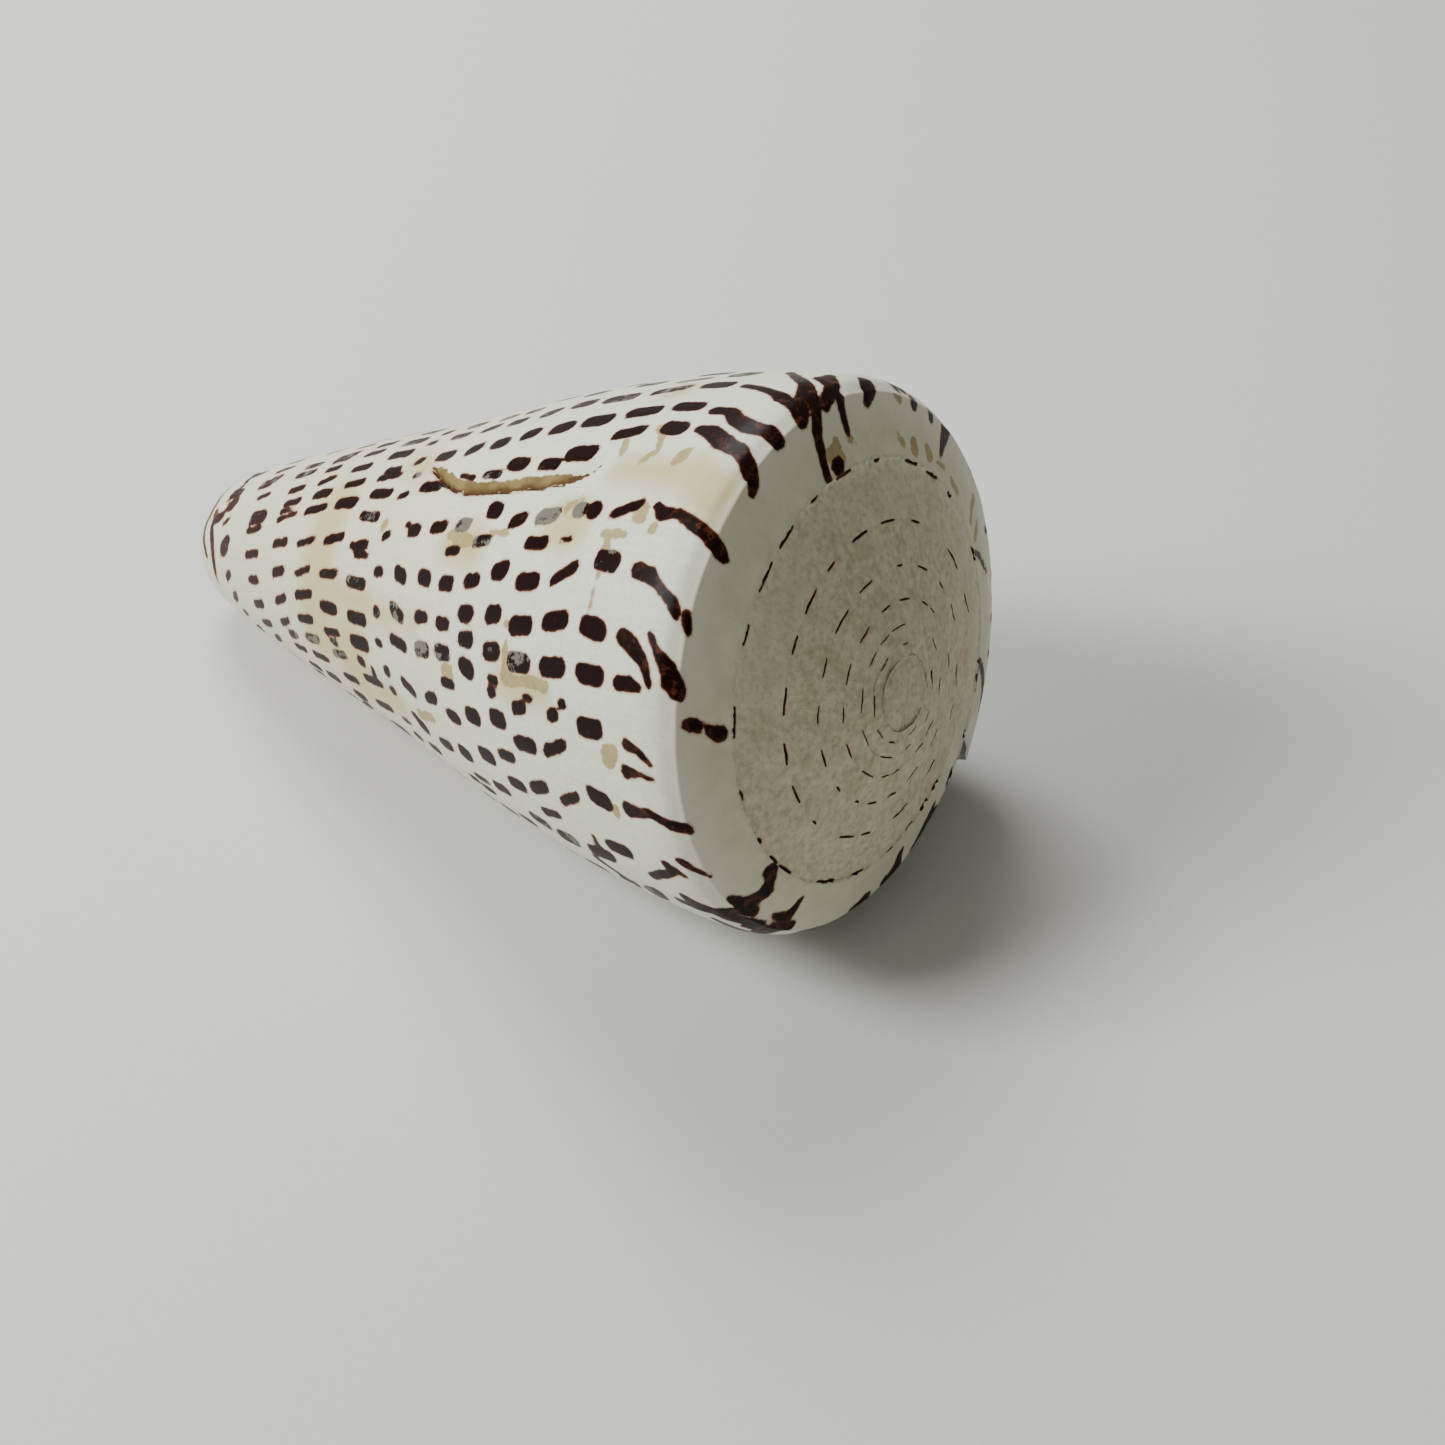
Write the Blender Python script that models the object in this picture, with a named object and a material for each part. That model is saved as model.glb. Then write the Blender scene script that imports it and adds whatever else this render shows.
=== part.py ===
"""Cone shell, one solid, lying with its slit down as it does in the photo. Metres, +Z up.

The shell is built in its own coil frame first: an axis with the apex at its top, angles around
it, and heights along it. The outer wall follows one spiral that grows by the same ratio every
turn, so each turn's shoulder is the next turn's suture. The last steps lay the shell down on
the lip and the body whorl, which is how the real one comes to rest.
"""
import math

import bmesh
import bpy

# Overall size
LENGTH = 0.100            # apex to the end of the canal
LIP_RADIUS = 0.0339       # axis to the fullest part of the shoulder, at the lip
TURN_GROWTH = 1.33        # each turn is this much wider than the one before
LIP_ANGLE = -16.0         # degrees, place of the lip in the coil frame

# Spire
SPIRE_HEIGHT = 0.0112     # apex above the shoulder at the lip
SPIRE_POWER = 1.5         # 1 is a straight cone, more is a dome
SPIRE_TURNS = 6           # ribbons of the spiral before the apex cap
SUTURE_DROP = 0.0005      # step down from a whorl's crest to the next ramp
RAMP_HOLLOW = 0.0004      # how far a ramp is dished between suture and crest

# Side of the body whorl: share of the way down, share of the full radius
SIDE_PROFILE = (
    (0.000, 0.955), (0.020, 0.985), (0.045, 0.997), (0.090, 0.987), (0.180, 0.952), (0.350, 0.836),
    (0.550, 0.648), (0.750, 0.480), (0.900, 0.335), (0.965, 0.250), (1.000, 0.110),
)
SIDE_ROWS = (0.0, 0.015, 0.040, 0.075, 0.120, 0.180, 0.240, 0.300, 0.350, 0.400, 0.450, 0.500,
             0.560, 0.630, 0.700, 0.770, 0.840, 0.895, 0.940, 0.975, 1.0)
CEILING_ROW = 2           # the slit starts at this row, under the ramp
RAMP_ROWS = (0.10, 0.50)  # rows between suture and crest

# Columns around one turn
STEP_DEG = 6.0
SCAR_COLUMNS = (143.6, 145.0, 147.3, 148.8)   # extra ones where the scar runs

# Slit
SLIT_DEPTH_DEG = 60.0     # how far the hollow goes back from the lip
WALL_AT_SHOULDER = 0.0022
WALL_AT_TIP = 0.0009
LIP_EDGE_SHARE = 0.55     # the lip's edge is this share of the wall behind it
LIP_EDGE_DEG = 18.0       # and reaches full thickness this far back
SLIT_END_CLOSE = 0.55     # share of the slit's width lost at its inner end
SLIT_END_STEPS = 4.0      # over this many columns
LIP_RETREAT_DEG = 8.0     # the lip's edge falls back this far towards the canal
LIP_SWING_DEG = 45.0      # over which the columns follow it
COLUMELLA_CUT = 0.24      # share by which the pillar is slimmer at the canal
COLUMELLA_REACH_DEG = 80.0
BELLY_FLAT = 0.020        # share by which the body whorl is flatter where it lies
BELLY_PHI = -346.0
BELLY_SPREAD_DEG = 17.0

# Repaired scar on the back: share of the way down, angle in degrees
SCAR_LINE = ((0.19, 138.5), (0.215, 142.0), (0.25, 145.3), (0.30, 146.4), (0.36, 147.4),
             (0.41, 147.6), (0.45, 144.5), (0.50, 137.5))
SCAR_DEPTH = 0.0008
SCAR_LEDGE = 0.00035      # the newer shell past the scar lies this much lower
SCAR_HALF_DEG = 1.5

# Lying down: side of the coil that faces down, and tilt of the axis
REST_ANGLE = -56.7
REST_TILT = 13.6

SHELL_COLOUR = (0.80, 0.78, 0.72, 1.0)
SHELL_ROUGHNESS = 0.4
SHARP_DEG = 40.0


def smoothstep(low: float, high: float, value: float) -> float:
    """Ease from 0 at low to 1 at high."""
    share = min(1.0, max(0.0, (value - low) / (high - low)))
    return share * share * (3.0 - 2.0 * share)


def curve(points: tuple, value: float) -> float:
    """Smooth curve through points, without overshoot, as a monotone cubic."""
    xs = [p[0] for p in points]
    ys = [p[1] for p in points]
    if value <= xs[0]:
        return ys[0]
    if value >= xs[-1]:
        return ys[-1]
    count = len(xs)
    steps = [xs[i + 1] - xs[i] for i in range(count - 1)]
    slopes = [(ys[i + 1] - ys[i]) / steps[i] for i in range(count - 1)]
    ends = [slopes[0]]
    for i in range(1, count - 1):
        if slopes[i - 1] * slopes[i] <= 0.0:
            ends.append(0.0)
        else:
            first = 2.0 * steps[i] + steps[i - 1]
            second = steps[i] + 2.0 * steps[i - 1]
            ends.append((first + second) / (first / slopes[i - 1] + second / slopes[i]))
    ends.append(slopes[-1])
    k = 0
    while value > xs[k + 1]:
        k += 1
    t = (value - xs[k]) / steps[k]
    return ((1 + 2 * t) * (1 - t) ** 2 * ys[k] + t * (1 - t) ** 2 * steps[k] * ends[k]
            + t * t * (3 - 2 * t) * ys[k + 1] + t * t * (t - 1) * steps[k] * ends[k + 1])


def growth(phi: float) -> float:
    """Size at a coil angle in degrees, 0 at the lip and negative before it."""
    return TURN_GROWTH ** (phi / 360.0)


def spire(radius: float) -> float:
    """Height of the spire over the shoulder at the lip."""
    share = min(1.0, max(0.0, radius / LIP_RADIUS))
    return SPIRE_HEIGHT * (1.0 - share ** SPIRE_POWER)


def crest(phi: float) -> tuple:
    """Radius and height of the shoulder's crest."""
    radius = LIP_RADIUS * growth(phi) * SIDE_PROFILE[0][1]
    return radius, spire(radius)


def lip_shift(share: float) -> float:
    """How far the lip's edge is ahead, in degrees, at a share of the way down."""
    return -LIP_RETREAT_DEG * smoothstep(0.62, 1.0, share)


def side(phi: float, share: float) -> tuple:
    """Radius and height on the outer wall, phi in degrees, share of the way down."""
    top = crest(phi)[1]
    foot = SPIRE_HEIGHT - LENGTH
    radius = LIP_RADIUS * growth(phi) * curve(SIDE_PROFILE, share)
    near = 1.0 - smoothstep(-360.0, -360.0 + COLUMELLA_REACH_DEG, phi)
    radius *= 1.0 - COLUMELLA_CUT * near * smoothstep(0.55, 0.95, share)
    off = (phi - BELLY_PHI) / BELLY_SPREAD_DEG
    radius *= 1.0 - BELLY_FLAT * math.exp(-off * off) * smoothstep(0.0, 0.08, share)
    return radius, top + share * (foot - top)


def scar(angle: float, share: float) -> float:
    """How far the outer wall is sunk by the repaired scar."""
    window = smoothstep(0.18, 0.215, share) * (1.0 - smoothstep(0.46, 0.52, share))
    if window <= 0.0:
        return 0.0
    off = (angle - curve(SCAR_LINE, share)) / SCAR_HALF_DEG
    groove = SCAR_DEPTH * math.exp(-off * off)
    ledge = SCAR_LEDGE * smoothstep(-0.5, 0.8, off) * (1.0 - smoothstep(3.0, 9.0, off))
    return window * (groove + ledge)


def wall(back: float, share: float) -> float:
    """Thickness of the wall at so many degrees behind the lip's edge."""
    full = WALL_AT_SHOULDER + (WALL_AT_TIP - WALL_AT_SHOULDER) * share
    return full * (LIP_EDGE_SHARE + (1.0 - LIP_EDGE_SHARE) * smoothstep(0.0, LIP_EDGE_DEG, back))


def lay_down(radius: float, angle: float, height: float) -> tuple:
    """From the coil frame to the frame in which the shell lies."""
    turn = math.radians(angle - REST_ANGLE)
    tilt = math.radians(REST_TILT)
    down = radius * math.cos(turn)
    along_y = radius * math.sin(turn)
    x = height * math.cos(tilt) + down * math.sin(tilt)
    z = height * math.sin(tilt) - down * math.cos(tilt)
    return x, along_y, z


def turn_columns() -> list:
    """Coil angles of one turn, from the lip one turn back to just before it, increasing."""
    count = round(360.0 / STEP_DEG)
    phis = [-360.0 + STEP_DEG * k for k in range(count)]
    for angle in SCAR_COLUMNS:
        phi = (LIP_ANGLE - angle) % 360.0 - 360.0
        phis.append(phi)
    return sorted(phis)


def build_shell() -> bpy.types.Object:
    """Make the one solid and return its object.

    It is a loft between unlike sections, a spiral with a slit, so its faces are set by hand.
    """
    mesh = bmesh.new()
    turn = turn_columns()
    n = len(turn)
    rows = len(SIDE_ROWS)

    def phi_of(column: int) -> float:
        whole, part = divmod(column, n)
        return turn[part] + 360.0 * whole

    def add(radius: float, phi: float, height: float) -> bmesh.types.BMVert:
        return mesh.verts.new(lay_down(radius, LIP_ANGLE - phi, height))

    first = -(SPIRE_TURNS - 1) * n
    crests = {}
    for j in range(first, n + 1):
        radius, height = crest(phi_of(j))
        crests[j] = add(radius, phi_of(j), height)
    ramps = {}
    for j in range(first + n, n + 1):
        phi = phi_of(j)
        inner = crest(phi - 360.0)[0]
        outer = crest(phi)[0]
        scale = growth(phi)
        for k, share in enumerate(RAMP_ROWS):
            radius = inner + share * (outer - inner)
            drop = SUTURE_DROP * (1.0 - share) + RAMP_HOLLOW * math.sin(math.pi * share)
            ramps[j, k] = add(radius, phi, spire(radius) - scale * drop)

    sides = {}
    for j in range(n + 1):
        phi = phi_of(j)
        for i, share in enumerate(SIDE_ROWS):
            if i == 0:
                sides[j, i] = crests[j]
                continue
            at = phi + lip_shift(share) * smoothstep(-LIP_SWING_DEG, 0.0, phi)
            radius, height = side(at, share)
            height = side(phi, share)[1]
            sunk = scar((LIP_ANGLE - at) % 360.0, share)
            sides[j, i] = add(radius - sunk, at, height)

    # The slit: the pillar side goes on from the body whorl, the wall side comes back to the lip
    depth = round(SLIT_DEPTH_DEG / STEP_DEG)
    pillar = {}
    inner_wall = {}
    for d in range(depth + 1):
        back = -STEP_DEG * d
        ease = smoothstep(depth - SLIT_END_STEPS, depth, float(d))
        for i in range(CEILING_ROW, rows):
            share = SIDE_ROWS[i]
            if d == 0:
                pillar[d, i] = sides[0, i]
            else:
                radius, height = side(back - 360.0, share)
                pillar[d, i] = add(radius, back - 360.0, height)
            at = back + lip_shift(share) * smoothstep(-LIP_SWING_DEG, 0.0, back)
            radius = side(at, share)[0] - wall(-back, share)
            gap = radius - side(back - 360.0, share)[0]
            height = side(back, share)[1]
            inner_wall[d, i] = add(radius - SLIT_END_CLOSE * ease * gap, at, height)

    faces = []
    for j in range(first + n, n):
        for k in range(len(RAMP_ROWS) + 1):
            low0 = crests[j - n] if k == 0 else ramps[j, k - 1]
            low1 = crests[j + 1 - n] if k == 0 else ramps[j + 1, k - 1]
            high0 = crests[j] if k == len(RAMP_ROWS) else ramps[j, k]
            high1 = crests[j + 1] if k == len(RAMP_ROWS) else ramps[j + 1, k]
            faces.append((low0, high0, high1, low1))
    for j in range(n):
        for i in range(rows - 1):
            faces.append((sides[j, i], sides[j, i + 1], sides[j + 1, i + 1], sides[j + 1, i]))
    for d in range(depth):
        for i in range(CEILING_ROW, rows - 1):
            faces.append((pillar[d + 1, i], pillar[d + 1, i + 1], pillar[d, i + 1], pillar[d, i]))
            faces.append((inner_wall[d, i], inner_wall[d, i + 1],
                          inner_wall[d + 1, i + 1], inner_wall[d + 1, i]))
        faces.append((pillar[d, CEILING_ROW], inner_wall[d, CEILING_ROW],
                      inner_wall[d + 1, CEILING_ROW], pillar[d + 1, CEILING_ROW]))
    for i in range(CEILING_ROW, rows - 1):
        faces.append((pillar[depth, i], pillar[depth, i + 1],
                      inner_wall[depth, i + 1], inner_wall[depth, i]))
        faces.append((sides[n, i], sides[n, i + 1], inner_wall[0, i + 1], inner_wall[0, i]))

    # Wall that closes the last ramp at the lip, over the slit
    closing = [sides[0, i] for i in range(CEILING_ROW + 1)]
    closing.append(inner_wall[0, CEILING_ROW])
    closing += [sides[n, i] for i in range(CEILING_ROW, -1, -1)]
    closing += [ramps[n, k] for k in range(len(RAMP_ROWS) - 1, -1, -1)]
    faces.append(tuple(closing))

    # End of the canal
    foot = [sides[j, rows - 1] for j in range(n + 1)]
    foot += [inner_wall[d, rows - 1] for d in range(depth + 1)]
    foot += [pillar[d, rows - 1] for d in range(depth, 0, -1)]
    faces.append(tuple(foot))

    # Apex cap
    apex = mesh.verts.new(lay_down(0.0, 0.0, SPIRE_HEIGHT))
    for j in range(first, first + n - 1):
        faces.append((apex, crests[j], crests[j + 1]))
    last = crests[first + n - 1]
    chain = [crests[first + n]] + [ramps[first + n, k] for k in range(len(RAMP_ROWS) - 1, -1, -1)]
    chain += [crests[first], apex]
    for one, two in zip(chain, chain[1:]):
        faces.append((last, one, two))

    for corners in faces:
        mesh.faces.new(corners)
    mesh.normal_update()
    bmesh.ops.triangulate(mesh, faces=mesh.faces[:], quad_method="BEAUTY", ngon_method="BEAUTY")
    bmesh.ops.recalc_face_normals(mesh, faces=mesh.faces[:])
    lowest = min(v.co.z for v in mesh.verts)
    near = min(v.co.x for v in mesh.verts)
    far = max(v.co.x for v in mesh.verts)
    left = min(v.co.y for v in mesh.verts)
    right = max(v.co.y for v in mesh.verts)
    for v in mesh.verts:
        v.co.x -= 0.5 * (near + far)
        v.co.y -= 0.5 * (left + right)
        v.co.z -= lowest

    data = bpy.data.meshes.new("shell")
    mesh.to_mesh(data)
    mesh.free()
    data.shade_smooth()
    data.set_sharp_from_angle(angle=math.radians(SHARP_DEG))
    return bpy.data.objects.new("shell", data)


def main() -> None:
    """Empty the scene and build the shell."""
    for thing in list(bpy.data.objects):
        bpy.data.objects.remove(thing)
    parts = bpy.data.collections.new("cone_shell")
    bpy.context.scene.collection.children.link(parts)
    shell = build_shell()
    parts.objects.link(shell)
    material = bpy.data.materials.new("shell")
    material.use_nodes = True
    shader = material.node_tree.nodes["Principled BSDF"]
    shader.inputs["Base Color"].default_value = SHELL_COLOUR
    shader.inputs["Roughness"].default_value = SHELL_ROUGHNESS
    shell.data.materials.append(material)


main()
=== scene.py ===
"""Lettered cone shell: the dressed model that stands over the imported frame.

The shell is one grown piece. Its skins follow the same growth law as the part's source, only with
many more points, and each face corner carries its place in the coil and how far it is from the
nearest dark marking. The finish reads those and draws the spots, stains and chalky spire.
"""
from __future__ import annotations

import logging
import math
import random
from dataclasses import dataclass, field
from enum import Enum

import bpy
import numpy as np
from mathutils import Matrix, Vector


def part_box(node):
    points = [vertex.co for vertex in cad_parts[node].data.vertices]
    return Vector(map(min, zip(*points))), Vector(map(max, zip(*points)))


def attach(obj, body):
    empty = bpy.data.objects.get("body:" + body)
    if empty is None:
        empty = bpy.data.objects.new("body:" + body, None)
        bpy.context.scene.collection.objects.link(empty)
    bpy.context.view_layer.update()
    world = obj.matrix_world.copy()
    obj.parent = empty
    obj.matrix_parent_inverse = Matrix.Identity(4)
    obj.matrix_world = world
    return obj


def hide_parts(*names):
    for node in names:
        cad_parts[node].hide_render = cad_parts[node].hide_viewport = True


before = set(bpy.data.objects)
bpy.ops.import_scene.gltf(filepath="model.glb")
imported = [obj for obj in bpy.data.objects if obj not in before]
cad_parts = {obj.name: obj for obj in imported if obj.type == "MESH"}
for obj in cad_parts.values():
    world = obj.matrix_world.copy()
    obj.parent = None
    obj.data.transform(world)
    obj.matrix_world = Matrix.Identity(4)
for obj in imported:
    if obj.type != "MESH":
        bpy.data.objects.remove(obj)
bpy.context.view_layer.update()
NODE = "shell"
SPIRE = "spire"
MM = 0.001
TURN = 360.0
DASH_SHARE = 0.03       # how far in from a suture its dashes lie, as a share of the ramp's width
FIRST_ANGLE = 84.0      # coil angle from which the side's markings are counted
LEVELS = 1100.0         # their steps from the shoulder's crest down to the canal's end
TENTHS = 10.0           # their steps in a degree
MM_PER_SHARE = 100.0    # one share along the side is the length of the shell
COIL_UV = 0.0055        # steps of the coil map in a degree
# Rows of spots that the photo doesn't show: level, width in degrees, height in mm, and lean
FAR_ROWS = (
    (72, 4.0, 3.6, 0.1), (122, 4.2, 3.9, 0.05), (187, 3.8, 3.9, 0.35), (248, 3.8, 3.8, 0.2),
    (304, 3.8, 2.9, 0.3), (356, 3.9, 2.9, 0.1), (405, 3.6, 2.8, 0.2), (455, 3.8, 3.0, 0.2),
    (513, 3.8, 3.1, -0.2),
    (566, 3.0, 1.7, 0.2), (620, 4.0, 4.2, 0.25), (690, 3.7, 3.9, 0.5), (756, 3.6, 3.7, 0.8),
    (822, 3.8, 3.2, 1.1), (895, 4.2, 3.0, 1.0), (972, 6.5, 1.9, 3.0),
)
LOG = logging.getLogger("cone_shell")
Array = np.ndarray


def ease(low: float, high: float, value: Array | float) -> Array:
    """Ease from 0 at low to 1 at high.

    Args:
        low: value at which the result is still 0.
        high: value from which the result is 1.
        value: numbers to ease.
    Returns:
        Array of shares from 0 to 1.
    """
    share = np.clip((np.asarray(value, dtype=float) - low) / (high - low), 0.0, 1.0)
    return share * share * (3.0 - 2.0 * share)


@dataclass(frozen=True)
class SmoothCurve:
    """Curve through points without overshoot, as a monotone cubic."""

    points: tuple

    def __call__(self, value: Array | float) -> Array:
        """Heights of the curve at value."""
        xs = np.array([p[0] for p in self.points])
        ys = np.array([p[1] for p in self.points])
        steps = np.diff(xs)
        slopes = np.diff(ys) / steps
        ends = np.zeros(len(xs))
        ends[0] = slopes[0]
        ends[-1] = slopes[-1]
        for i in range(1, len(xs) - 1):
            if slopes[i - 1] * slopes[i] > 0.0:
                first = 2.0 * steps[i] + steps[i - 1]
                second = steps[i] + 2.0 * steps[i - 1]
                ends[i] = (first + second) / (first / slopes[i - 1] + second / slopes[i])
        at = np.clip(np.asarray(value, dtype=float), xs[0], xs[-1])
        k = np.clip(np.searchsorted(xs, at, side="left") - 1, 0, len(steps) - 1)
        t = (at - xs[k]) / steps[k]
        rise = (1 + 2 * t) * (1 - t) ** 2 * ys[k] + t * (1 - t) ** 2 * steps[k] * ends[k]
        return rise + t * t * (3 - 2 * t) * ys[k + 1] + t * t * (t - 1) * steps[k] * ends[k + 1]


@dataclass(frozen=True)
class Coil:
    """Growth law of the shell, as in the part's source.

    Only the step at a suture and the hollow of a ramp are lower here, because the photo shows
    them worn, and the crests that a later turn covers stand a little further out.
    """

    length: float = 0.100
    lip_radius: float = 0.0339
    turn_growth: float = 1.33
    lip_angle: float = -16.0
    spire_height: float = 0.0112
    spire_power: float = 1.5
    suture_drop: float = 0.00010
    ramp_hollow: float = 0.00012
    suture_out: float = 0.05
    covered_phi: float = -470.0
    lip_retreat: float = 8.0
    lip_swing: float = 45.0
    retreat_from: float = 0.62
    wall_at_shoulder: float = 0.0022
    wall_at_tip: float = 0.0009
    edge_share: float = 0.55
    edge_reach: float = 18.0
    columella_cut: float = 0.24
    columella_reach: float = 80.0
    columella_rows: tuple = (0.55, 0.95)
    belly_flat: float = 0.020
    belly_phi: float = -346.0
    belly_spread: float = 17.0
    belly_from: float = 0.08
    rest_angle: float = -56.7
    rest_tilt: float = 13.6
    profile: SmoothCurve = SmoothCurve((
        (0.000, 0.955), (0.020, 0.985), (0.045, 0.997), (0.090, 0.987), (0.180, 0.952),
        (0.350, 0.836), (0.550, 0.648), (0.750, 0.480), (0.900, 0.335), (0.965, 0.250),
        (1.000, 0.110)))

    def growth(self, phi: Array) -> Array:
        """Size at a coil angle in degrees, 0 at the lip and negative before it."""
        return self.turn_growth ** (np.asarray(phi, dtype=float) / TURN)

    def spire(self, radius: Array) -> Array:
        """Height of the spire over the shoulder at the lip."""
        share = np.clip(radius / self.lip_radius, 0.0, 1.0)
        return self.spire_height * (1.0 - share ** self.spire_power)

    def crest(self, phi: Array) -> tuple[Array, Array]:
        """Radius and height of the shoulder's crest."""
        covered = 1.0 - ease(self.covered_phi, -TURN, phi)
        radius = self.lip_radius * self.growth(phi) * self.profile(0.0)
        radius = radius * (1.0 + self.suture_out * covered)
        return radius, self.spire(radius)

    def lip_shift(self, phi: Array, share: Array) -> Array:
        """Degrees by which growth lines fall back towards the canal near the lip."""
        lower = ease(self.retreat_from, 1.0, share)
        return -self.lip_retreat * lower * ease(-self.lip_swing, 0.0, phi)

    def side(self, phi: Array, share: Array) -> tuple[Array, Array]:
        """Radius and height on the outer wall.

        Args:
            phi: coil angle in degrees.
            share: share of the way from the shoulder's crest down to the canal.
        Returns:
            Radius and height in metres.
        """
        top = self.crest(phi)[1]
        foot = self.spire_height - self.length
        radius = self.lip_radius * self.growth(phi) * self.profile(share)
        near = 1.0 - ease(-TURN, -TURN + self.columella_reach, phi)
        radius = radius * (1.0 - self.columella_cut * near * ease(*self.columella_rows, share))
        off = (phi - self.belly_phi) / self.belly_spread
        lower = ease(0.0, self.belly_from, share)
        radius = radius * (1.0 - self.belly_flat * np.exp(-off * off) * lower)
        return radius, top + share * (foot - top)

    def wall(self, back: Array, share: Array) -> Array:
        """Thickness of the wall at so many degrees behind the lip's edge."""
        full = self.wall_at_shoulder + (self.wall_at_tip - self.wall_at_shoulder) * share
        inward = ease(0.0, self.edge_reach, back)
        return full * (self.edge_share + (1.0 - self.edge_share) * inward)

    def lay_down(self, radius: Array, angle: Array, height: Array) -> Array:
        """Points in the frame in which the shell lies, last axis x, y, z."""
        turn = np.radians(angle - self.rest_angle)
        tilt = math.radians(self.rest_tilt)
        down = radius * np.cos(turn)
        x = height * math.cos(tilt) + down * math.sin(tilt)
        z = height * math.sin(tilt) - down * math.cos(tilt)
        return np.stack(np.broadcast_arrays(x, radius * np.sin(turn), z), axis=-1)


@dataclass(frozen=True)
class Scar:
    """Repaired break on the back: a groove and the slightly lower shell grown past it.

    band is the tan strip along it and undercut_shadow the thin painted shadow in the undercut under
    its older edge, each as coil angle, share and half width in mm. The slopes are where the ground
    falls and rises, in half widths.
    """

    line: SmoothCurve = SmoothCurve((
        (0.19, 138.5), (0.215, 142.0), (0.25, 145.3), (0.30, 146.4), (0.36, 147.4),
        (0.41, 147.6), (0.45, 144.5), (0.50, 137.5)))
    depth: float = 0.0008
    ledge: float = 0.00035
    half_deg: float = 1.5
    ends: tuple = ((0.18, 0.215), (0.46, 0.52))
    groove_slopes: tuple = ((-2.2, -0.1), (0.0, 0.7))
    ledge_slopes: tuple = ((-0.5, 0.8), (3.0, 9.0))
    band: tuple = (
        (138.5, 0.190, 0.10), (140.5, 0.200, 0.30), (142.6, 0.218, 0.45), (143.8, 0.250, 0.55),
        (144.5, 0.290, 0.60), (145.3, 0.327, 0.60), (145.8, 0.364, 0.60), (145.8, 0.400, 0.60),
        (144.3, 0.427, 0.60), (141.8, 0.455, 0.60), (138.8, 0.480, 0.50), (136.5, 0.503, 0.15))
    # painted shadow: thin dark line in the undercut under the scar's older edge
    undercut_shadow: tuple = (
        (141.2, 0.195, 0.04), (143.6, 0.218, 0.07), (144.9, 0.250, 0.09), (145.9, 0.290, 0.12),
        (146.6, 0.327, 0.10), (147.1, 0.364, 0.16), (147.2, 0.400, 0.14), (145.8, 0.427, 0.18),
        (143.4, 0.455, 0.20), (140.3, 0.480, 0.18), (137.8, 0.503, 0.08))

    @staticmethod
    def rise_and_fall(slopes: tuple, value: Array) -> Array:
        """Rise from 0 to 1 over the first pair of values and fall again over the second."""
        return ease(*slopes[0], value) * (1.0 - ease(*slopes[1], value))

    def off(self, angle: Array, share: Array) -> Array:
        """Distance past the scar's line, in half widths."""
        return (angle - self.line(share)) / self.half_deg

    def sunk(self, angle: Array, share: Array) -> Array:
        """How far the outer wall is sunk, in metres."""
        off = self.off(angle, share)
        groove = self.depth * self.rise_and_fall(self.groove_slopes, off)
        ledge = self.ledge * self.rise_and_fall(self.ledge_slopes, off)
        return self.rise_and_fall(self.ends, share) * (groove + ledge)


class Zone(Enum):
    """Skin of the shell that a sheet of faces belongs to."""

    SIDE = "side"
    RAMP = "ramp"
    INSIDE = "inside"


@dataclass
class Sheet:
    """Grid of points on one skin, with the coil place of each point.

    share is 0 at the shoulder's crest, grows down the side in lengths of 100 mm, and is negative
    on the ramp, as the distance in from the crest.
    """

    zone: Zone
    points: Array
    angle: Array
    share: Array
    radius: Array
    inner_turns: Array

    def corner_ids(self) -> Array:
        """Index of each quad's four corners in the flattened grid."""
        rows, cols = self.angle.shape
        at = np.arange(rows * cols).reshape(rows, cols)
        quads = (at[:-1, :-1], at[:-1, 1:], at[1:, 1:], at[1:, :-1])
        return np.stack([q.ravel() for q in quads], axis=1)


@dataclass(frozen=True)
class Spot:
    """One dark marking: place in the coil, width in degrees, height in mm, and lean.

    lean is how far it slants, in degrees sideways for each mm down. worn is how much of it has
    rubbed away to grey.
    """

    angle: float
    share: float
    wide: float
    high: float
    lean: float = 0.0
    worn: float = 0.0


@dataclass(frozen=True)
class Streak:
    """A flame or line: coil angle, share and half width in mm of each point along it."""

    points: tuple


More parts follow.
